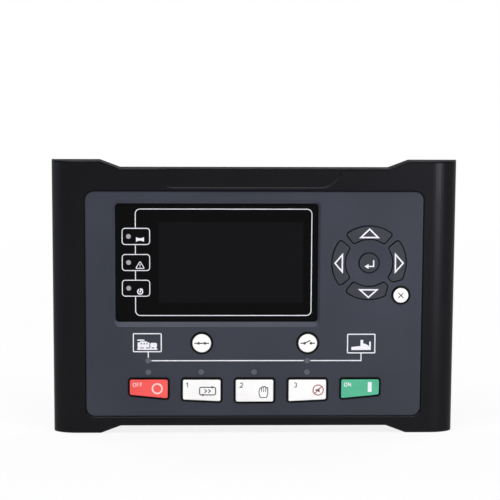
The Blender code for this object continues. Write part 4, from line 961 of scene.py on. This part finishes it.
ROOM_COLOUR = (0.05, 0.05, 0.055, 1.0)

# The paper's radius and the height of its wall, which runs round the back between two angles in degrees
PAPER_REACH = 9.0
PAPER_HEIGHT = 1.0
PAPER_STEPS = 48
WALL_START, WALL_END, WALL_STEPS = -15, 195, 28

# The share of white that the paper glows with up to SHADOW_NEAR from the object's middle, where the shadow
# falls; from SHADOW_FAR on it is white
PAPER_GLOW = 0.85
SHADOW_NEAR, SHADOW_FAR = 0.3, 1.0

# Camera found from the photograph's outline: position in metres, angles in degrees, focal length in pixels
CAMERA_AT = (-0.0383, -1.2734, 0.2327)
CAMERA_DOWN = 9.02
CAMERA_RIGHT = 1.61
CAMERA_ROLL = 0.29
CAMERA_FOCAL = 1943.0
PHOTO_SIDE = 500
SENSOR = 36.0


def softbox(name, at, target, width, height, power, colour):
    data = bpy.data.lights.new(name, "AREA")
    data.shape = "RECTANGLE"
    data.size = width
    data.size_y = height
    data.energy = power
    data.color = linear(colour)[:3]
    lamp = bpy.data.objects.new(name, data)
    lamp.location = at
    lamp.rotation_euler = (Vector(target) - Vector(at)).to_track_quat("-Z", "Y").to_euler()
    lamp.visible_camera = False
    bpy.context.scene.collection.objects.link(lamp)


def lights():
    for lamp in LAMPS:
        softbox(*lamp)
    world = bpy.data.worlds.new("dim_room")
    world.use_nodes = True
    set_sockets(world.node_tree, world.node_tree.nodes["Background"], {"Color": ROOM_COLOUR, "Strength": 1.0})
    bpy.context.scene.world = world


def seen_directly(tree):
    """1 for rays from the camera, off gloss or through glass, so that they all see the same background."""
    path = add(tree, "ShaderNodeLightPath", {})
    first = {0: path.outputs["Is Camera Ray"], 1: path.outputs["Is Glossy Ray"]}
    either = add(tree, "ShaderNodeMath", first, operation="MAXIMUM").outputs[0]
    second = {0: either, 1: path.outputs["Is Transmission Ray"]}
    return add(tree, "ShaderNodeMath", second, operation="MAXIMUM").outputs[0]


def studio_paper():
    """Matt white background paper, lit to white where it is seen; the object's shadow still shows on it."""
    made, tree, shader, place = new_material("matt_white_background_paper")
    set_sockets(tree, shader, {
        "Base Color": drift(tree, place, 3.0, "E9E9E8", "EFEFEE"),
        "Roughness": 0.9,
        "Specular IOR Level": 0.1,
    })
    glow = add(tree, "ShaderNodeEmission", {"Color": "FFFFFF", "Strength": 1.0})
    away = add(tree, "ShaderNodeVectorMath", {0: place}, operation="LENGTH").outputs["Value"]
    reach = {"From Min": SHADOW_NEAR, "From Max": SHADOW_FAR, "To Min": PAPER_GLOW, "To Max": 1.0}
    paper = add(tree, "ShaderNodeMapRange", {"Value": away, **reach}).outputs["Result"]
    share = {0: seen_directly(tree), 1: paper}
    factor = add(tree, "ShaderNodeMath", share, operation="MULTIPLY").outputs[0]
    both = add(tree, "ShaderNodeMixShader", {0: factor, 1: shader.outputs[0], 2: glow.outputs[0]})
    set_sockets(tree, tree.nodes["Material Output"], {"Surface": both.outputs[0]})
    return made


def background():
    """A round sheet of paper under the object that turns up into a wall behind it."""
    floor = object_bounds()[0].z
    mesh = bmesh.new()
    rim = circle((0.0, 0.0), PAPER_REACH, PAPER_STEPS)
    mesh.faces.new([mesh.verts.new((x, y, floor)) for x, y in rim])
    foot = arc((0.0, 0.0), PAPER_REACH, WALL_START, WALL_END, WALL_STEPS)
    lower, upper = ([mesh.verts.new((x, y, z)) for x, y in foot] for z in (floor, floor + PAPER_HEIGHT))
    for i in range(WALL_STEPS):
        mesh.faces.new((lower[i], lower[i + 1], upper[i + 1], upper[i]))
    data = bpy.data.meshes.new("background_paper")
    mesh.to_mesh(data)
    mesh.free()
    data.materials.append(studio_paper())
    sheet = bpy.data.objects.new("background_paper", data)
    bpy.context.scene.collection.objects.link(sheet)


def camera():
    pitch, yaw, roll = (math.radians(a) for a in (CAMERA_DOWN, CAMERA_RIGHT, CAMERA_ROLL))
    forward = Vector((math.sin(yaw) * math.cos(pitch), math.cos(yaw) * math.cos(pitch), -math.sin(pitch)))
    level = Vector((math.cos(yaw), -math.sin(yaw), 0.0))
    upright = Vector((math.sin(yaw) * math.sin(pitch), math.cos(yaw) * math.sin(pitch), math.cos(pitch)))
    right = math.cos(roll) * level + math.sin(roll) * upright
    up = math.cos(roll) * upright - math.sin(roll) * level
    data = bpy.data.cameras.new("photo_camera")
    data.sensor_width = SENSOR
    data.lens = CAMERA_FOCAL / PHOTO_SIDE * SENSOR
    made = bpy.data.objects.new("photo_camera", data)
    turn = Matrix((right, up, -forward)).transposed().to_4x4()
    made.matrix_world = Matrix.Translation(CAMERA_AT) @ turn
    bpy.context.scene.collection.objects.link(made)
    bpy.context.scene.camera = made


def finish_nodes(black, pipe, steel):
    """Gives each CAD node its material. The words after a material are how its nodes' names start."""
    dark_key = key_abs("lacquered_dark_grey_abs", ("313439", "37393F"), "key_up", specular=0.2)
    white_key = key_abs("lacquered_white_abs", ("F1F1EC", "F6F6F0"), "key_auto", lacquer_shade_depth=WHITE_LACQUER_SHADE_DEPTH)
    finishes = (
        (black, "front_bezel", "rear_housing"),
        (grey_abs(), "face_panel"),
        (smoked_acrylic(), "display_lens"),
        (pipe, "lamp_", "status_light_guide"),
        (epdm_foam(), "panel_gasket"),
        (silicone(), "keypad_mat"),
        (solder_mask(), "display_board", "main_board"),
        (steel, "lcd_module", "usb_port", "clock_battery", "board_spacer_", "case_screw_"),
        (component_epoxy(), "board_link", "link_port", "relay_"),
        (terminal_polyamide(), "terminal_header_", "terminal_plug_"),
        (key_abs("lacquered_red_abs", ("EB514C", "F25A55"), "key_stop"), "key_stop"),
        (key_abs("lacquered_green_abs", ("49AA83", "52B48C"), "key_start"), "key_start"),
        (dark_key, "key_up", "key_down", "key_left", "key_right", "key_enter"),
        (white_key, "key_escape", "key_close", "key_open", "key_auto", "key_manual", "key_mute"),
    )
    for name, node in frame["nodes"].items():
        finish = next(made for made, *starts in finishes if name.startswith(tuple(starts)))
        for slot in node.material_slots:
            slot.material = finish


def main():
    bpy.context.scene.view_settings.view_transform = "Standard"

    black, pipe, steel = black_abs(), light_pipe(), zinc_steel()
    finish_nodes(black, pipe, steel)

    white_ink = ink("screen_printed_white_ink", "E2E2E5", "ECECEF")
    thin_white_ink = ink("thin_white_ink_over_red", "EAC8BE", "F2D0C6")
    dark_ink = ink("screen_printed_grey_ink", "3C3D41", "4A4B4F")
    red_ink = ink("screen_printed_red_ink", "A23F42", "AF4B4E")
    window_ink = ink("screen_printed_diffusing_ink", "98989A", "A0A0A2")
    lens_prints(white_ink, window_ink)
    opening_shade_rims(black)
    lamp_heads(pipe)
    panel_prints(white_ink)
    arrow_key_prints(white_ink)
    round_key_prints(dark_ink)
    row_key_prints(white_ink, thin_white_ink, dark_ink, red_ink)
    for number in range(1, 7):
        terminal_screws(number, steel)
    link_contacts(gold_plate())

    background()
    lights()
    camera()


main()
